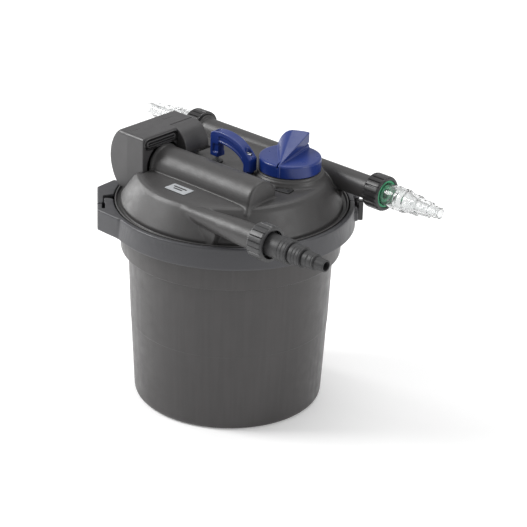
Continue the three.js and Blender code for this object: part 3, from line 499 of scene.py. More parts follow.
def clear_plastic(name, code, rough):
    """Clear moulding: thin-walled refraction, a glossy coat and milky ridge lines."""
    m = Nodes(name)
    colour = m.mix(m.remap(m.noise(40, 3), 0.35, 0.65, 0.0, 1.0), srgb(code, 0.94), srgb(code, 1.04))
    uneven = m.remap(m.noise(90, 4), 0.3, 0.7, rough - 0.03, rough + 0.05)
    m.shade(colour, uneven, m.bump(m.noise(130, 3), 0.06, 0.0003))
    through, through_at_ridges = 0.96, 0.96 - 0.3
    passing = m.remap(m.edge(0.51, 0.58), 0.0, 1.0, through, through_at_ridges)
    m.link(passing, m.bsdf.inputs["Transmission Weight"])
    m.bsdf.inputs["IOR"].default_value = 1.18
    m.bsdf.inputs["Coat Weight"].default_value = 0.7
    m.bsdf.inputs["Coat Roughness"].default_value = 0.05
    return m.material


def metal(name, code, rough=0.25):
    """Metal with fine brushed lines."""
    m = Nodes(name)
    lines = m.noise(900, 2, stretch=(1.0, 1.0, 60.0))
    colour = m.mix(m.remap(lines, 0.3, 0.7, 0.0, 1.0), srgb(code, 0.85), srgb(code, 1.1))
    m.shade(colour, m.remap(lines, 0.3, 0.7, rough - 0.06, rough + 0.1), m.bump(lines, 0.15, 0.00005))
    m.bsdf.inputs["Metallic"].default_value = 1.0
    return m.material


def rubber(name, code):
    m = Nodes(name)
    colour = m.mix(m.noise(60, 3), srgb(code, 0.8), srgb(code, 1.5))
    uneven = m.remap(m.noise(200, 3), 0.3, 0.7, 0.62, 0.85)
    m.shade(colour, uneven, m.bump(m.noise(1600, 3), 0.3, 0.0002))
    return m.material


def foam(name, code):
    """Open-cell foam: painted shade darkens the pores between the cell walls."""
    m = Nodes(name)
    pores = m.voronoi(330)
    # painted shade: the pore centres turn near black, as shade in the holes would
    colour = m.mix(m.remap(pores, 0.15, 0.6, 1.0, 0.0), srgb(code, 1.1), srgb(code, 0.12))
    colour = m.mix(m.remap(m.noise(25, 3), 0.35, 0.7, 0.0, 0.35), colour, srgb(code, 0.6))
    m.bsdf.inputs["Specular IOR Level"].default_value = 0.15
    m.shade(colour, 0.95, m.bump(pores, 1.0, 0.003))
    return m.material


M_BUCKET = plastic("bucket_plastic", "#343232", rough=0.4, grain=0.22, patch=0.05, streaks=0.4)
M_LID = plastic("lid_plastic", "#393838", rough=0.42, grain=0.4, patch=0.05)
M_RING = plastic("ring_plastic", "#39393c", rough=0.4, grain=0.3, patch=0.05)
M_HEAD = plastic("head_plastic", "#3c3b3c", rough=0.38, grain=0.35, patch=0.05)
M_NUT = plastic("nut_plastic", "#363637", rough=0.4, grain=0.3, patch=0.06)
M_BLACK = plastic("black_plastic", "#262526", rough=0.34, grain=0.25, patch=0.1)
M_INNER = plastic("inner_plastic", "#1d1d1e", rough=0.5, grain=0.4, patch=0.1)
M_BLUE = plastic("blue_plastic", "#132b6e", rough=0.32, grain=0.1, patch=0.05, wear=0.3, coat=0.08)
M_GREEN = plastic("green_plastic", "#2c9a68", rough=0.4, grain=0.15, patch=0.06, wear=0.0)
M_ADAPTER = plastic("adapter_plastic", "#2b2b2c", rough=0.5, grain=0.3, patch=0.06, wear=0.2)
M_CREAM = plastic("cream_plastic", "#cbbfa8", rough=0.5, grain=0.15, patch=0.04, wear=0.0)
M_LABEL = plastic("label_film", "#a3a6a9", rough=0.4, grain=0.05, patch=0.03, wear=0.0)
M_CLEAR = clear_plastic("clear_plastic", "#ebecec", rough=0.12)
M_QUARTZ = clear_plastic("quartz_glass", "#f6fafb", rough=0.04)
M_STEEL = metal("brushed_steel", "#c8cacc")
M_BALLAST = metal("ballast_case", "#b8babc", rough=0.4)
M_RUBBER = rubber("seal_rubber", "#1b1b1b")
M_CABLE = rubber("cable_jacket", "#1d1d1e")
M_LAMP = plastic("lamp_glass", "#f4f4f2", rough=0.2, grain=0.03, patch=0.02, wear=0.0, coat=0.5)
M_FOAM_BLUE = foam("foam_fine", "#3c6fae")
M_FOAM_RED = foam("foam_coarse", "#a44a3a")

CARRIED_OVER = (
    (M_RUBBER, "lid_seal spindle_seal sleeve_seal front_flat_seal right_flat_seal left_flat_seal"),
    (M_INNER, "rod_bush_left rod_bush_right top_grid centre_pipe pressure_plate valve_rotor head_base"),
    (M_INNER, "lamp_holder cable_gland"),
    (M_STEEL, "clamp_lever_pin rod_nut_left rod_nut_right head_screw"),
    (M_BALLAST, "ballast"), (M_LAMP, "uv_lamp"), (M_QUARTZ, "quartz_sleeve"),
)
for node_material, node_names in CARRIED_OVER:
    for node_name in node_names.split():
        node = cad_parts[node_name]
        node.data.materials.clear()
        node.data.materials.append(node_material)


# ---- container
def make_container():
    """The tapered bucket, its collar and rim flange, and the small ribs under the clamp ring."""
    rim_r, _, rim_z = span("container")[1]
    wall, floor_low, floor_high = 4.0, 2.5, 6.5
    neck_r, collar_r, rib_z = 157.7, 171.0, 282.6
    corners = [
        (0, floor_low, 0), (108, floor_low, 2), (112, 0, 2), (146.6, 0, 10), (153.0, 126.2, 0.3),
        (153.5, 127.2, 0.3), (neck_r, 243.4, 2.5), (169.2, 246.0, 2.5), (170.1, 270, 0), (170.5, 282.4, 0),
        (170.5, 284.6, 0), (170.6, 288, 0), (collar_r, rim_z - 6.2, 1.0), (rim_r, rim_z - 6, 1.2),
        (rim_r, rim_z, 1.2), (171 - wall - 2, rim_z, 1.0), (169.4 - wall, 250, 3), (neck_r - wall, 240, 3),
        (147 - wall, 14, 8), (120, floor_high, 3), (0, floor_high, 0),
    ]
    outline = rounded([c[:2] for c in corners], [c[2] for c in corners])
    outline = [(max(r, 0.0), z) for r, z in outline]
    outline[0], outline[-1] = (0.0, floor_low), (0.0, floor_high)
    ribs = 72
    pitch = 2 * math.pi / ribs
    edges = [-0.5, -0.2, -0.0085, -0.005, 0, 0.005, 0.0085, 0.2]
    turns = [pitch * (i + 0.5) + (e if abs(e) < 0.1 else e * pitch) for i in range(ribs) for e in edges]

    def rib(turn, r, z):
        off = abs(turn / pitch % 1 - 0.5) * pitch
        if off >= 0.006 or z < rib_z or z > rim_z - 5 or r < 169 or r > rim_r - 2:
            return 0.0
        return min(2.4, (z - rib_z) * 1.2)

    look = ("anthracite", M_BUCKET)
    turned_piece("container_shell", outline, turns, "base", look, ["container"], swell=rib)


# ---- clamp ring
def make_ring():
    """The clamp ring, split into the half that pulls off and the half that stays, and the clamp lever."""
    rear_low, rear_high = span("clamp_ring_rear")
    low_z, top_z = rear_low[2], rear_high[2]
    pin = middle("clamp_lever_pin")
    g = Grid((-192, -192, low_z - 3), (192, 192, top_z + 3), 1.5)
    lip = 6
    band = g.turned_z(rounded([
        (173, low_z), (190, low_z), (187.5, top_z), (180, top_z), (180, top_z - lip), (186, top_z - lip),
        (186, low_z + lip), (173, low_z + lip),
    ], [1.5, 2.2, 2.6, 1.5, 1.5, 0.5, 0.5, 1.5]))
    block_plan = [(-60, -178.5), (-112, -176.5), (-176.5, -115), (-179.5, -74), (-120, -90)]
    block = g.prism_z(rounded(block_plan, [4, 5, 5, 4, 1]), low_z, top_z, 2.2)
    hole = polygon_distance(np.hypot(g.x, g.y), g.z, [(-9, 0), (186.5, 0), (186.5, 900), (-9, 900)])
    whole = blend(band, carve(block, hole), 1.5)

    along = np.array(polar(1, 225))
    side = np.array(polar(1, 315))
    lap = [depth * along + slip * side for depth, slip in ((0, -5.1), (195.2, -5.1), (195.2, 21), (400, 21))]
    region = [tuple(p) for p in lap] + [polar(400, t) for t in np.linspace(246, 403, 7)]
    region = polygon_distance(g.x, g.y, region)
    front = common(whole, region + 0.5, 1.0)
    rear = carve(whole, region - 0.5, 1.0)

    def cut_on_block(corners, depth):
        plan = [tuple(u * along + v * side) for u, v in corners]
        return g.prism_z(rounded(plan, 0.8), top_z - depth, top_z + 9)

    mouth = cut_on_block([(177, -14.8), (195.4, -8), (195.4, -0.8), (177, 5)], 32)
    slot = cut_on_block([(192.4, 17), (197, 17), (197, 40.6), (192.4, 40.6)], 32)
    tongue_gap = cut_on_block([(195, 19.2), (230, 19.2), (230, 23.4), (195, 23.4)], 50)
    for hole, soft in ((slot, 0.8), (mouth, 0.8), (tongue_gap, 0.5)):
        front, rear = carve(front, hole, soft), carve(rear, hole, soft)

    def curved(r0, r1, t0, t1, z0, z1, edge=1.0):
        plan = [polar(r1, t) for t in np.linspace(t0, t1, 5)] + [polar(r0, t) for t in np.linspace(t1, t0, 5)]
        return g.prism_z(plan, z0, z1, edge)

    front = blend(front, curved(184, 193.5, 37, 42.2, 297, 313, 1.5), 1.5)
    pin_r = math.hypot(pin[0], pin[1])
    knuckle = np.hypot(g.x - pin[0], g.y - pin[1])
    for z0, z1 in ((293, 299), (311, 317)):
        ear = curved(184, pin_r, 53.4, 58.6, z0, z1, 0.8)
        ear = blend(ear, g.slab(knuckle - 6, g.z, z0, z1, 0.8), 1)
        rear = blend(rear, ear, 1)
    rear = carve(rear, g.slab(knuckle - 2.9, g.z, low_z, top_z), 0.3)
    field_piece("clamp_ring_front_half", g, front, "clamp_front", "ring", M_RING, ["clamp_ring_front"])
    field_piece("clamp_ring_rear_half", g, rear, "base", "ring", M_RING, ["clamp_ring_rear"])

    low, high = span("clamp_lever")
    g = Grid(low - 3, high + 3, 0.6)
    arm = [polar(199.6, t) for t in np.linspace(44.2, 56, 9)]
    arm += [polar(194.4, t) for t in np.linspace(56, 44.2, 9)]
    bar_plan = [polar(201.3, t) for t in (42.9, 45.5)] + [polar(193.7, t) for t in (45.5, 42.9)]
    lever = g.prism_z(arm, 300, 310, 1.0)
    lever = blend(lever, g.prism_z(bar_plan, low[2], high[2], 2.2), 1.5)
    knuckle = np.hypot(g.x - pin[0], g.y - pin[1])
    lever = blend(lever, g.slab(knuckle - 6, g.z, 300, 310, 0.8), 1.0)
    lever = carve(lever, g.slab(knuckle - 2.8, g.z, 280, 330), 0.3)
    field_piece("clamp_lever_arm", g, lever, "lever", "black", M_BLACK, ["clamp_lever"])


# ---- lid
SYMBOL_SHIFT = 6
SYMBOL_TURN = math.radians(10)


def make_lid():
    """The domed lid with its turret, lamp tube, front and rear tubes, head bay and rim flange."""
    low = span("lid_shell")[0]
    kx, ky = middle("selector_knob")[:2]
    fy, fz = middle("front_nut")[1:]
    ry, rz = middle("right_nut")[1:]
    ly, lz = middle("quartz_sleeve")[1:]
    lr = 30.0
    head_low, head_high = span("head_cover")
    front_end, right_end, left_end = span("front_nut")[0][0], span("right_nut")[0][0], span("left_nut")[1][0]
    g = Grid((left_end - 15, -181, 300), (right_end + 15, 181, 405), 1.6)

    outer = [(-60, 300), (169.5, 300), (169.5, 324), (149, 360.5), (145.5, 364.8), (140.5, 367.3),
             (134, 368.4), (100, 369.6), (60, 370.8), (0, 372), (-60, 372)]
    dome = g.turned_z(rounded(outer, [0, 0, 5, 4, 3, 3, 4, 6, 6, 6, 0]))
    inner = [(-60, 290), (165.5, 290), (165.5, 322), (143, 362), (100, 365.5), (0, 368), (-60, 368)]
    hollow = g.turned_z(inner)
    turret = g.turned_z(rounded([
        (-60, 340), (57, 340), (55.5, 366), (53.6, 372.5), (52.6, 374.6), (52.6, 377.3), (50, 377.9),
        (50, 381.4), (-60, 381.4),
    ], [0, 3, 4, 1, 0.5, 1, 0.5, 1, 0]), kx, ky)
    body = blend(dome, turret, 5)

    below = np.clip(lz - 2 - g.z, 0, 8)
    lean = 0.3 * below + 0.01 * below ** 2
    flare = 4.5 * np.clip((g.x - 50) / 65, 0, 1) ** 2 * np.clip((lz + 2 - g.z) / 12, 0, 1)
    half_section = [(-9, 345), (lr, 345)] + arc(0, lz, lr, 0, 90, 20) + [(-9, lz + lr)]
    tunnel = polygon_distance((np.abs(g.y - ly) - lean - flare).clip(0), g.z, half_section)
    lamp = g.slab(tunnel, g.x - lean, head_high[0] - 40, 115.5, 4)
    tube_r = np.hypot(g.y - ly, g.z - lz)
    collar = g.slab(tube_r - lr - 2.6, g.x, head_high[0] - 30, head_high[0] + 2.2, 0.8)
    collar = blend(collar, g.slab(tube_r - lr - 1.2, g.x, head_high[0] - 30, head_high[0] + 5.5, 0.8), 0.3)
    body = blend(body, lamp, 2.0)
    body = blend(body, collar, 1.0)

    rear = g.turned_x(rectangle(-9, left_end, 18, right_end), ry, rz)
    web = common(g.box((-150, 111, 306), (150, 116, rz)), np.hypot(g.x, g.y) - 168)
    body = blend(body, web, 2)
    body = blend(body, rear, 3)

    nose = [(-9, 18), (3, 20), (9, 34), (13, 70), (16.2, 110), (18.4, 150), (18.8, front_end)]
    nose.append((-9, front_end))
    tube = g.turned_x(rounded(nose, [0, 4, 6, 20, 20, 10, 0, 0]), fy, fz)
    gusset_side = [(79.5, 308), (99, 308), (99, 323), (105.5, fz - 2), (64, fz - 2), (79.5, 323)]
    gusset = g.prism_y(gusset_side, -146.5, -120, 1.2)
    body = blend(body, tube, 3.5)
    body = blend(body, gusset, 1.6)

    bay = g.box((low[0] - 30, head_low[1] - 1.5, 324), (head_high[0] + 0.5, 46, 460), 2)
    bay_wall = g.box((low[0] - 60, head_low[1] - 5.5, 320), (head_high[0] + 4.5, 50, 500), 2)
    inside = carve(hollow, bay_wall, 1)
    turret_hollow = np.maximum(np.hypot(g.x - kx, g.y - ky) - 44, np.abs(g.z - 361) - 16)
    body = carve(body, inside, 0.8)
    body = carve(body, turret_hollow, 0.8)
    body = blend(body, common(np.minimum(rear, tube), 0 * g.x - 1.0), 0.5)
    body = blend(body, carve(lamp, g.box((-400, -400, 0), (400, 400, 352)), 1), 0.5)
    body = carve(body, bay, 1.0)
    for side_x in (-1, 1):
        x = middle("pull_rod_right")[0] * side_x
        body = blend(body, g.rod_z(x, 0, 11.5, 362, 374, 0.8), 2)
        body = carve(body, g.rod_z(x, 0, 6.6, 350, 390), 0.3)

    body = carve(body, g.rod_x(ly, lz, 26, head_high[0] - 60, 109), 0.5)
    body = carve(body, g.box((-60, ly - 8, 330), (80, ly + 8, 346)), 0.5)
    body = carve(body, g.rod_x(ry, rz, 14, left_end - 40, right_end + 40), 0.5)
    body = carve(body, g.rod_x(fy, fz, 14, 110, front_end + 40), 0.5)
    body = carve(body, np.hypot(g.x - kx, g.y - ky) - 8.6 + 0 * g.z, 0.5)
    for end, way, cy, cz in ((front_end, 1, fy, fz), (right_end, 1, ry, rz), (left_end, -1, ry, rz)):
        spigot = g.rod_x(cy, cz, 22.3, *sorted((end - 3 * way, end + 12 * way)), 0.8)
        ring = carve(spigot, g.rod_x(cy, cz, 14, end - 30, end + 30), 0.5)
        body = blend(body, ring, 0.8)
    lo, hi = span("label_plate")
    body = carve(body, g.box(lo - 0.6, (hi[0] + 0.6, hi[1] + 0.6, hi[2] + 9)), 0.4)
    lo, hi = span("symbol_pad")
    sx, sy = (lo[0] + hi[0]) / 2 + SYMBOL_SHIFT, (lo[1] + hi[1]) / 2 - SYMBOL_SHIFT
    u, v = g.tilted(sx, sy, SYMBOL_TURN)
    pocket = np.maximum(np.abs(u) - 13.6, np.abs(v) - 9.1)
    pocket = np.maximum(pocket, 54.5 - np.hypot(g.x - kx, g.y - ky))
    body = carve(body, g.slab(pocket, g.z, lo[2] - 0.8, 400), 0.4)
    field_piece("lid_dome", g, body, "lid", "anthracite", M_LID, ["lid_shell"])

    flange = rounded([
        (165.5, 306), (178.5, 306), (178.5, 322.4), (176.2, 322.4), (175.2, 317.8), (170.6, 317.6),
        (168.5, 321), (165.5, 321),
    ], [0.5, 1.0, 0.9, 0.9, 1.2, 1.2, 0.5, 0.5])
    turned_piece("lid_flange", flange, even_turns(320), "lid", ("anthracite", M_LID), crease=50)


def make_plates():
    """The blank label and the plain sunk symbol pad on the lid."""
    low, high = span("label_plate")
    g = Grid(low - 1, high + 1.5, 0.35)
    plan = rounded(rectangle(low[0], low[1], high[0], high[1]), 1.5)
    film = g.prism_z(plan, low[2] + 0.05, high[2] + 0.35, 0.2)
    field_piece("label_blank", g, film, "lid", "white", M_LABEL, ["label_plate"])
    cx, cy, top = (low[0] + high[0]) / 2, (low[1] + high[1]) / 2, high[2]
    marks = Grid((low[0], low[1], top - 1.2), (high[0], high[1], top + 1.4), 0.35)
    for name, row, left, right in (("upper", 3.2, -14, 12), ("lower", -2.6, -9, 8)):
        bar = rectangle(cx + left, cy + row - 1.6, cx + right, cy + row + 1.6)
        mark = marks.prism_z(rounded(bar, 0.5), top - 0.5, top + 0.6, 0.1)
        field_piece(f"label_bar_{name}", marks, mark, "lid", "black", M_INNER)
    mid = middle("symbol_pad") + np.array((SYMBOL_SHIFT, -SYMBOL_SHIFT, 0))
    g = Grid(mid - np.array((16, 12, 1.6)), mid + np.array((16, 12, 2.4)), 0.35)
    u, v = g.tilted(mid[0], mid[1], SYMBOL_TURN)
    flat = polygon_distance(u, v, rounded(rectangle(-13, -8.5, 13, 8.5), 1.5))
    pad = g.slab(flat, g.z, mid[2] - 0.6, mid[2] + 1.0, 0.3)
    rim = np.abs(polygon_distance(u, v, rectangle(-11, -6.5, 11, 6.5))) - 0.5
    pad = blend(pad, g.slab(rim, g.z, mid[2], mid[2] + 1.5, 0.2), 0.3)
    for row in (-3, 0, 3):
        bar = polygon_distance(u, v, rectangle(-7, row - 0.6, 7, row + 0.6))
        pad = blend(pad, g.slab(bar, g.z, mid[2], mid[2] + 1.5, 0.2), 0.3)
    knob = middle("selector_knob")
    pad = np.maximum(pad, 55 - np.hypot(g.x - knob[0], g.y - knob[1]))
    field_piece("symbol_pad_face", g, pad, "lid", "black", M_INNER, ["symbol_pad"])


# ---- cleaning handle
def make_handle():
    """The blue grip of the cleaning handle, with its rods and screw heads."""
    low, high = span("handle")
    g = Grid(low - 2, high + 2, 0.6)
    half = (high[1] - low[1]) / 2
    top = bezier((-34, 425.2), (-10, 431), (20, 426), (42, 399), 24)
    under = bezier((29, 388), (22, 400), (4, 409), (-22, 409), 16)
    side = [(-40, 385), (-40, 418), (-39, 422.5)] + top + [(42, 379), (28.5, 379)]
    side += under + [(-24.5, 402), (-24.5, 385)]
    arch = g.prism_y(side, -half, half, 1.6)
    channel_top = bezier((-22, 419), (-6, 422), (14, 416), (26, 402), 16)
    channel_low = bezier((25, 398), (16, 408), (-4, 412.5), (-22, 412.5), 12)
    for y0, y1 in ((-half - 4, -half + 1.2), (half - 1.2, half + 4)):
        arch = carve(arch, g.prism_y(rounded(channel_top + channel_low, 1), y0, y1, 0.6), 0.8)
    for x, z0, z1 in ((-32, 385.5, 404), (33.2, 375.8, 402)):
        flutes = 0.5 * np.cos(8 * np.arctan2(g.y, g.x - x)) if x > 0 else 0.0
        arch = blend(arch, g.slab(np.hypot(g.x - x, g.y) - 8 + flutes, g.z, z0, z1, 1.2), 1.5)
    for y0, y1 in ((-half - 4, -half + 2.2), (half - 2.2, half + 4)):
        arch = carve(arch, g.box((-34.5, y0, 392), (-24, y1, 405.5), 1.2), 0.8)
    for node in ("handle_screw_left", "handle_screw_right"):
        screw = middle(node)
        arch = carve(arch, g.rod_z(screw[0], screw[1], 5.4, span(node)[0][2] - 0.4, 480), 1.6)
    for node in ("pull_rod_left", "pull_rod_right"):
        rod = middle(node)
        arch = carve(arch, g.rod_z(rod[0], rod[1], 3.4, 300, 402), 0.3)
    field_piece("pull_handle_grip", g, arch, "pull_handle", "blue", M_BLUE, ["handle"])

    for side_name in ("left", "right"):
        node = f"handle_screw_{side_name}"
        low, high = span(node)
        mid = (low + high) / 2
        g = Grid(low - 1, high + 5, 0.3)
        head = g.rod_z(mid[0], mid[1], 4.8, low[2], high[2] + 4, 0.8)
        hexagon = arc(mid[0], mid[1], 2.4, 0, 300, 5)
        head = carve(head, g.prism_z(hexagon, high[2] + 1.6, high[2] + 9), 0.2)
        field_piece(f"handle_screw_head_{side_name}", g, head, "pull_handle", "steel", M_STEEL, [node])
        node = f"pull_rod_{side_name}"
        low, high = span(node)
        mid = (low + high) / 2
        outline = [(0, low[2]), (2.4, low[2]), (3, low[2] + 0.6), (3, high[2] - 0.4), (2.6, high[2])]
        outline.append((0, high[2]))
        turned_piece(f"pull_rod_bar_{side_name}", outline, even_turns(40), "pull_handle", ("steel", M_STEEL),
                     [node], centre=(mid[0], mid[1], 0))


# ---- selector knob
def make_knob():
    """The selector knob: a disc with a grip that widens from the tip to an arched back."""
    low, high = span("selector_knob")
    mid = (low + high) / 2
    r = (high[0] - low[0]) / 2
    disc_z, top_z = low[2], low[2] + 20
    g = Grid(low - 3, (high[0] + 3, high[1] + 3, high[2] + 4), 0.75)
    disc = rounded(rectangle(-20, disc_z, r, top_z), [0, 0.8, 3.6, 0])
    cap = g.turned_z(disc, mid[0], mid[1])

    tip = np.array((17.0, -43.8))
    left, right = np.array((-42.0, 17.0)), np.array((-1.5, 45.3))
    chord = right - left
    length = np.linalg.norm(chord)
    chord /= length
    inward = np.array((chord[1], -chord[0]))
    depth = float((tip - left) @ inward)
    dx, dy = g.x - mid[0] - tip[0], g.y - mid[1] - tip[1]
    ahead = np.maximum(-(dx * inward[0] + dy * inward[1]), 0.5)
    s = ahead / depth
    across = (dx * chord[0] + dy * chord[1]) / s + float((tip - left) @ chord)
    lift = (g.z - top_z) / s
    rise = high[2] - top_z

    def swept(*shares, steps):
        return bezier(*[(a * length, b * rise) for a, b in shares], steps)

    arch = [(0, 0)] + swept((0, 0), (0.08, 0.62), (0.26, 1.04), (0.52, 1), steps=18)
    arch += swept((0.52, 1), (0.7, 1), (0.85, 0.98), (1, 0.93), steps=8)[1:]
    arch += [(length, -200), (0, -200)]

    def on_cone(outline):
        """Field of the outline swept toward the tip; 0.85 allows for the slant."""
        return polygon_distance(across, lift, outline) * s * 0.85

    cone = on_cone(arch)
    from_axis = np.hypot(g.x - mid[0], g.y - mid[1])
    cone = np.maximum(cone, from_axis - r)
    back = (dx * -inward[0] + dy * -inward[1]) - depth + 0 * g.z
    grip = common(cone, back, 1.5)
    grip = np.maximum(grip, disc_z + 2 - g.z)
    groove = rectangle(0.965 * length, 0.2 * rise, 1.3 * length, 0.3 * rise)
    grip = carve(grip, on_cone(groove), 0.5)
    ledge = on_cone([(0.7 * length, -200), (1.05 * length, -200), (length, 0.12 * rise),
                     (0.7 * length, 0.2 * rise)])
    ledge = np.maximum(common(ledge, back, 1.0), from_axis - r + 0.5)
    knob = blend(cap, grip, 1.4)
    knob = blend(knob, np.maximum(ledge, disc_z + 2 - g.z), 1.0)

    strip_turn = math.atan2(tip[1], tip[0])
    cx, cy = mid[0] + (r - 0.6) * math.cos(strip_turn), mid[1] + (r - 0.6) * math.sin(strip_turn)
    u, v = g.tilted(cx, cy, strip_turn)
    strip = g.slab(np.maximum(np.abs(u) - 1.7, np.abs(v) - 1.3), g.z, disc_z + 0.5, top_z - 0.2, 0.6)
    knob = blend(knob, strip, 0.6)
    notch = g.slab(np.maximum(np.abs(u + 4) - 6.5, np.abs(v + 3.2) - 1.1), g.z, top_z - 5, top_z + 8)
    knob = carve(knob, notch, 0.5)
    hollow = g.rod_z(mid[0], mid[1], r - 4, disc_z - 9, top_z - 4, 1.0)
    knob = carve(knob, carve(hollow, from_axis - 13 + 0 * g.z, 0.5), 0.6)
    knob = carve(knob, g.rod_z(mid[0], mid[1], 8.4, disc_z - 9, top_z - 4), 0.4)
    field_piece("selector_knob_cap", g, knob, "knob", "blue", M_BLUE, ["selector_knob"])


# ---- UV head
def make_head():
    """The UV head's housing, its rounded hood and the release latch."""
    low, high = span("head_cover")
    hood_low, hood_high = span("head_hood")
    face_x, top_z, low_z, back_y, front_y = high[0], 422.0, low[2], high[1], low[1]
    ly, lz = middle("quartz_sleeve")[1:]
    g = Grid(low - 2, high + 2, 0.9)

    def side(inset):
        half = (top_z - low_z) / 2 - inset
        bulge, flat_x = 20.0, -142.0
        r = ((top_z - low_z) ** 2 / 4 + bulge ** 2) / (2 * bulge) - inset
        cx, cz = flat_x - bulge + r + inset, (top_z + low_z) / 2
        spread = math.degrees(math.asin(half / r))
        front = [(face_x - inset, low_z + inset), (face_x - inset, top_z - inset)]
        return front + arc(cx, cz, r, 180 - spread, 180 + spread, 24)

    outside = g.prism_y(rounded(side(0), [1, 4.5] + [2.5] + [0] * 23 + [2.5]), front_y - 9, back_y, 3.0)
    crease_x, lean = -122.0, 3.0
    plan = [(crease_x, front_y), (face_x, front_y), (face_x, back_y + 9), (-200, back_y + 9),
            (-200, front_y + lean * (crease_x + 200) / 40)]
    plan = g.prism_z(rounded(plan, [0, 1.2, 0, 0, 0]), low_z - 30, top_z + 30)
    cover = common(outside, plan, 0.5)
    roll = 5.2
    across = np.maximum(g.y - front_y - lean / 40 * np.maximum(crease_x - g.x, 0), 0)
    lift = top_z - g.z
    corner = roll - np.hypot(np.maximum(roll - across, 0), np.maximum(roll - lift, 0))
    cover = np.maximum(cover, np.where((across < roll) & (lift < roll), -corner, -99.0))
    inside = g.prism_y(side(3), front_y + 6.7, back_y - 3)
    cover = carve(cover, inside)
    cover = carve(cover, g.box((-140, front_y + 9, low_z - 9), (face_x - 4, back_y - 5, low_z + 5)), 0.5)
    cover = carve(cover, g.rod_x(ly, lz, 35.6, face_x - 7, face_x + 9), 0.8)
    pill = g.pill_x(*span("head_latch"))
    cover = blend(cover, g.slab(pill - 9, g.x, face_x - 6, face_x + 3.4, 1.4), 1.0)
    cover = carve(cover, g.slab(pill - 6.9, g.x, face_x - 9, face_x + 9), 0.7)
    cover = carve(cover, g.rod_x(ly, lz, 35.6, face_x - 0.2, face_x + 9), 0.6)
    hood_room = g.box(tuple(c - 0.6 for c in hood_low), (face_x + 9, back_y + 9, top_z + 9))
    cover = carve(cover, hood_room, 0.6)
    for x, y0, y1 in ((-123, -94, -76.7), (-125, -21.8, -5.4)):
        dash = g.box((x - 0.7, y0, top_z - 1), (x + 0.7, y1, top_z + 9))
        hook = g.box((x - 4, y0 - 0.7, top_z - 1), (x + 0.7, y0 + 0.7, top_z + 9))
        cover = carve(cover, np.minimum(dash, hook), 0.4)
    gland = middle("cable_gland")
    cover = carve(cover, g.rod_y(gland[0], gland[2], 6.5, back_y - 7, back_y + 9), 0.4)
    field_piece("head_housing", g, cover, "uv_head", "anthracite", M_HEAD, ["head_cover"])

    g = Grid(hood_low - 2, hood_high + 2, 0.8)
    x0, z0 = hood_low[0], hood_low[2]
    r = hood_high[0] - x0
    hood_top = top_z - 0.5
    quarter = [(x0, z0), (x0 + r, z0)]
    quarter += bezier((x0 + r, z0), (x0 + r, z0 + 0.6 * r), (x0 + 0.62 * r, hood_top), (x0, hood_top), 20)[1:]
    hood = g.prism_y(rounded(quarter, [1.0, 1.5] + [0] * 19 + [0.5]), hood_low[1], hood_high[1], 1.4)
    screw = middle("head_screw")
    hood = carve(hood, g.rod_y(screw[0], screw[2], 3.4, screw[1] - 1.6, screw[1] + 9), 0.4)
    field_piece("head_hood_cover", g, hood, "uv_head", "anthracite", M_HEAD, ["head_hood"])

    low, high = span("head_latch")
    g = Grid(low - 1, high + 1, 0.45)
    mid_z = (low[2] + high[2]) / 2
    latch = g.slab(g.pill_x(low, high) - 5.3, g.x, low[0], high[0], 1.2)
    for z, cut in ((mid_z + 1.2, 1.3), (mid_z - 2.7, 1.2)):
        groove = g.box((high[0] - 5, low[1] + 4.5, z - cut), (high[0] + 5, high[1] - 4.5, z + cut), 0.3)
        latch = carve(latch, groove, 0.5)
    field_piece("head_latch_bar", g, latch, "latch", "anthracite", M_HEAD, ["head_latch"])


def make_cable():
    """The mains cable, on the same run as its CAD solid."""
    gx, gy, gz = middle("cable_gland")
    stations = [
        (gx, gy - 5, gz), (gx, gy + 3, gz), (gx - 3, gy + 11, gz), (-150, 39, 350), (-174, 46, 344),
        (-198, 56, 330), (-207, 62, 306), (-207, 64, 260), (-207, 66, 120), (-209, 70, 30), (-224, 82, 5),
        (-262, 100, 4.5),
    ]
    curve = bpy.data.curves.new("mains_cable_run", "CURVE")
    curve.dimensions = "3D"
    curve.bevel_depth = 3.4 * MM
    curve.bevel_resolution = 5
    curve.resolution_u = 10
    curve.use_fill_caps = True
    spline = curve.splines.new("NURBS")
    spline.points.add(len(stations) - 1)
    for point, station in zip(spline.points, stations):
        point.co = (*[c * MM for c in station], 1.0)
    spline.use_endpoint_u = True
    spline.order_u = 4
    curve.materials.append(M_CABLE)
    obj = add("mains_cable_run", curve)
    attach(obj, "uv_head")
    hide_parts("mains_cable")


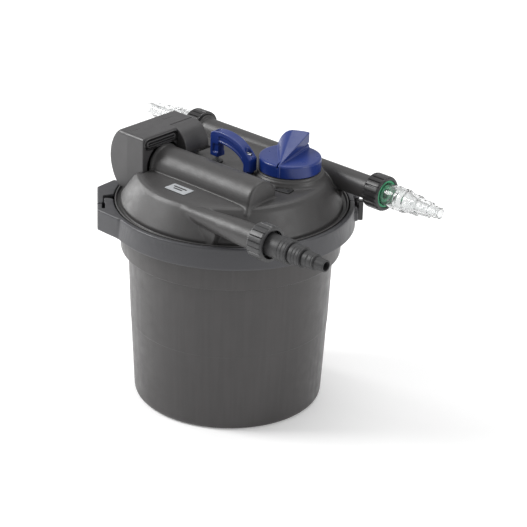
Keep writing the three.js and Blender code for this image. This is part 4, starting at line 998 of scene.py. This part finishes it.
# ---- unions
def make_union(name, way, nut, adapter, groove_share, groove_depth, insert):
    """A union nut, its stepped hose adapter and coloured insert, each given as (slot, material); the slots
    are not used.
    """
    nut_low, nut_high = span(f"{name}_nut")
    start = nut_low[0] if way > 0 else nut_high[0]
    axis = middle(f"{name}_nut")
    centre = (start, axis[1], axis[2])
    nut_r, length = 27.0, 27.0
    ribs, per_rib = 20, 16
    outline = rounded([
        (23, 0), (nut_r - 0.6, 0), (nut_r, 2), (nut_r, length - 3), (nut_r - 1.6, length), (21.2, length),
        (21.2, length - 6), (23, length - 6),
    ], [0.5, 0.6, 0.8, 2, 1.2, 0.8, 0.5, 0.4])
    outline = densify(outline, 2.5)
    turns = even_turns(ribs * per_rib)

    def groove(turn, r, t):
        if r < nut_r - 2.2 or t < 1.2:
            return 0.0
        off = abs((turn * ribs / (2 * math.pi)) % 1 - 0.5) * 2
        depth = min(1.0, max(0.0, (off - (1 - groove_share)) / 0.16))
        fade = min(1.0, (t - 1.2) / 1.5, max(0.0, (length - 1.0 - t) / 1.5))
        return -groove_depth * depth * fade

    place = {"centre": centre, "axis": "x" if way > 0 else "-x"}
    turned_piece(f"{name}_union_nut", outline, turns, f"{name}_union", nut, [f"{name}_nut"], 35,
                 swell=groove, **place)

    steps = [(17.5, 14, 0), (18.6, 39, 3), (15.8, 62, 3), (12.4, 84, 2), (9.4, 101, 0)]
    profile = [(14, 14), (22.3, 14), (22.3, 18)]
    at = 18.0
    radii = [0.5, 0.5, 0.5]
    for r, end, ridges in steps:
        stop = length + end
        if ridges:
            profile += [(r - 1.5, at), (r - 1.5, at + 1.6)]
            radii += [0.2, 0.3]
            at += 2.0
        profile.append((r, at))
        radii.append(0.5)
        if ridges:
            run = (stop - at - 4) / ridges
            for i in range(ridges):
                z = at + 3 + i * run
                profile += [(r - 0.15, z + run * 0.55), (r - 0.75, z + run * 0.72), (r - 0.15, z + run * 0.9)]
                radii += [0.3, 0.3, 0.3]
        profile.append((r - 0.5, stop))
        radii.append(1.1)
        at = stop
    profile += [(6.5, at), (6.5, length + 62), (14, length + 32)]
    radii += [0.6, 2, 2]

    def on_hose(part, outline, look, nodes=()):
        turned_piece(f"{name}_{part}", outline, even_turns(96), f"{name}_hose", look, nodes, **place)

    on_hose("hose_adapter", rounded(profile, radii, 3), adapter, [f"{name}_adapter"])
    if insert:
        node = f"{name}_insert"
        low, high = span(node)
        z0, z1 = sorted((abs(low[0] - start), abs(high[0] - start)))
        on_hose("insert_ring", rounded(rectangle(18, z0, 20.7, z1), 0.5), insert, [node])
        on_hose("insert_sleeve", rounded(rectangle(8, 15, 13.6, length - 1), 0.5), insert)


def densify(points, pitch):
    out = []
    for a, b in zip(points, points[1:] + points[:1]):
        count = max(1, int(math.hypot(b[0] - a[0], b[1] - a[1]) / pitch))
        out += [(a[0] + (b[0] - a[0]) * i / count, a[1] + (b[1] - a[1]) * i / count) for i in range(count)]
    return out


# ---- foams
def make_foams():
    """Five foam rings with slightly uneven skins, each on a mesh of its own; lifting the handle presses the
    real rings together.
    """
    rng = np.random.default_rng(7)
    for i in range(1, 6):
        node = f"foam_{i}"
        low, high = span(node)
        r, z0, z1 = high[0], low[2], high[2]
        outline = densify(rounded(rectangle(24, z0, r, z1), 2.0, 3), 4)
        phases = rng.uniform(0, 2 * math.pi, 6)

        def swell(turn, radius, z, phases=phases):
            if radius < 30:
                return 0.0
            wave = sum(math.sin(turn * (5 + 7 * k) + phases[k] + z * 0.11 * (k + 1)) for k in range(6))
            return 0.22 * wave - 0.9

        points, faces = lathe(outline, even_turns(220), swell=swell)
        slot, material = ("foam_red", M_FOAM_RED) if i <= 2 else ("foam_blue", M_FOAM_BLUE)
        obj = piece(f"foam_ring_{i}", points, faces, "lid", slot, material, [node])
        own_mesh(obj)


make_container()
make_ring()
make_lid()
make_plates()
make_handle()
make_knob()
make_head()
make_cable()
make_union("front", 1, ("anthracite", M_NUT), ("black", M_ADAPTER), 0.22, 1.5, None)
make_union("right", 1, ("black", M_BLACK), ("clear", M_CLEAR), 0.36, 2.1, ("green", M_GREEN))
make_union("left", -1, ("black", M_BLACK), ("clear", M_CLEAR), 0.36, 2.1, ("cream", M_CREAM))
make_foams()


# ---- floor, light and camera
def make_stage():
    """A pale floor, a white studio and four area lights."""
    mesh = bpy.data.meshes.new("floor")
    size = 6.0
    corners = [(x, y, 0) for x, y in rectangle(-size, -size, size, size)]
    mesh.from_pydata(corners, [], [(0, 1, 2, 3)])
    floor = add("floor", mesh)
    m = Nodes("floor_paper")
    m.link(m.mix(m.noise(3, 2), (0.95, 0.95, 0.95, 1), (0.97, 0.97, 0.97, 1)), m.bsdf.inputs["Base Color"])
    m.bsdf.inputs["Roughness"].default_value = 0.9
    m.bsdf.inputs["Emission Color"].default_value = (1, 1, 1, 1)
    m.bsdf.inputs["Emission Strength"].default_value = 0.16
    mesh.materials.append(m.material)

    world = bpy.data.worlds.new("studio")
    world.use_nodes = True
    background = world.node_tree.nodes["Background"]
    background.inputs["Color"].default_value = (1, 1, 1, 1)
    tree = world.node_tree
    seen = tree.nodes.new("ShaderNodeLightPath")
    strength = tree.nodes.new("ShaderNodeMapRange")
    strength.inputs["To Min"].default_value = 0.55
    strength.inputs["To Max"].default_value = 1.0
    tree.links.new(seen.outputs["Is Camera Ray"], strength.inputs["Value"])
    tree.links.new(strength.outputs["Result"], background.inputs["Strength"])
    bpy.context.scene.world = world
    bpy.context.scene.view_settings.view_transform = "Standard"

    target = Vector((0, 0, 0.25))
    for name, place, size, power in (
        ("key_light", (-2.1, -1.7, 2.3), (1.2, 1.6), 84), ("left_light", (-2.8, -0.2, 0.85), (0.6, 1.4), 24),
        ("fill_light", (2.7, 0.5, 1.2), (0.8, 1.6), 21), ("top_light", (-0.2, 0.9, 3.0), (1.8, 1.8), 25),
    ):
        light = bpy.data.lights.new(name, "AREA")
        light.shape = "RECTANGLE"
        light.size, light.size_y = size
        light.energy = power
        obj = add(name, light)
        obj.location = place
        obj.rotation_euler = (target - Vector(place)).to_track_quat("-Z", "Y").to_euler()


def make_camera():
    """The camera at the photograph's viewing angle; focal is in units of the frame's 527 columns."""
    azimuth, elevation, roll = (math.radians(a) for a in (41.69, 24.74, 1.77))
    distance, focal = 3.411, 2205.4
    flat = math.cos(elevation)
    back = Vector((math.sin(azimuth) * flat, -math.cos(azimuth) * flat, math.sin(elevation)))
    right = Vector((math.cos(azimuth), math.sin(azimuth), 0))
    up = back.cross(right)
    right_rolled = right * math.cos(roll) + up * math.sin(roll)
    up_rolled = up * math.cos(roll) - right * math.sin(roll)
    place = Vector((0, 0, 0.2145)) + right * 0.0513 + back * distance
    camera = bpy.data.cameras.new("camera")
    camera.sensor_width = 36
    camera.lens = 36 * focal / 527
    camera.clip_end = 50
    obj = add("camera", camera)
    columns = Matrix((right_rolled, up_rolled, back)).transposed().to_4x4()
    obj.matrix_world = Matrix.Translation(place) @ columns
    bpy.context.scene.camera = obj


make_stage()
make_camera()
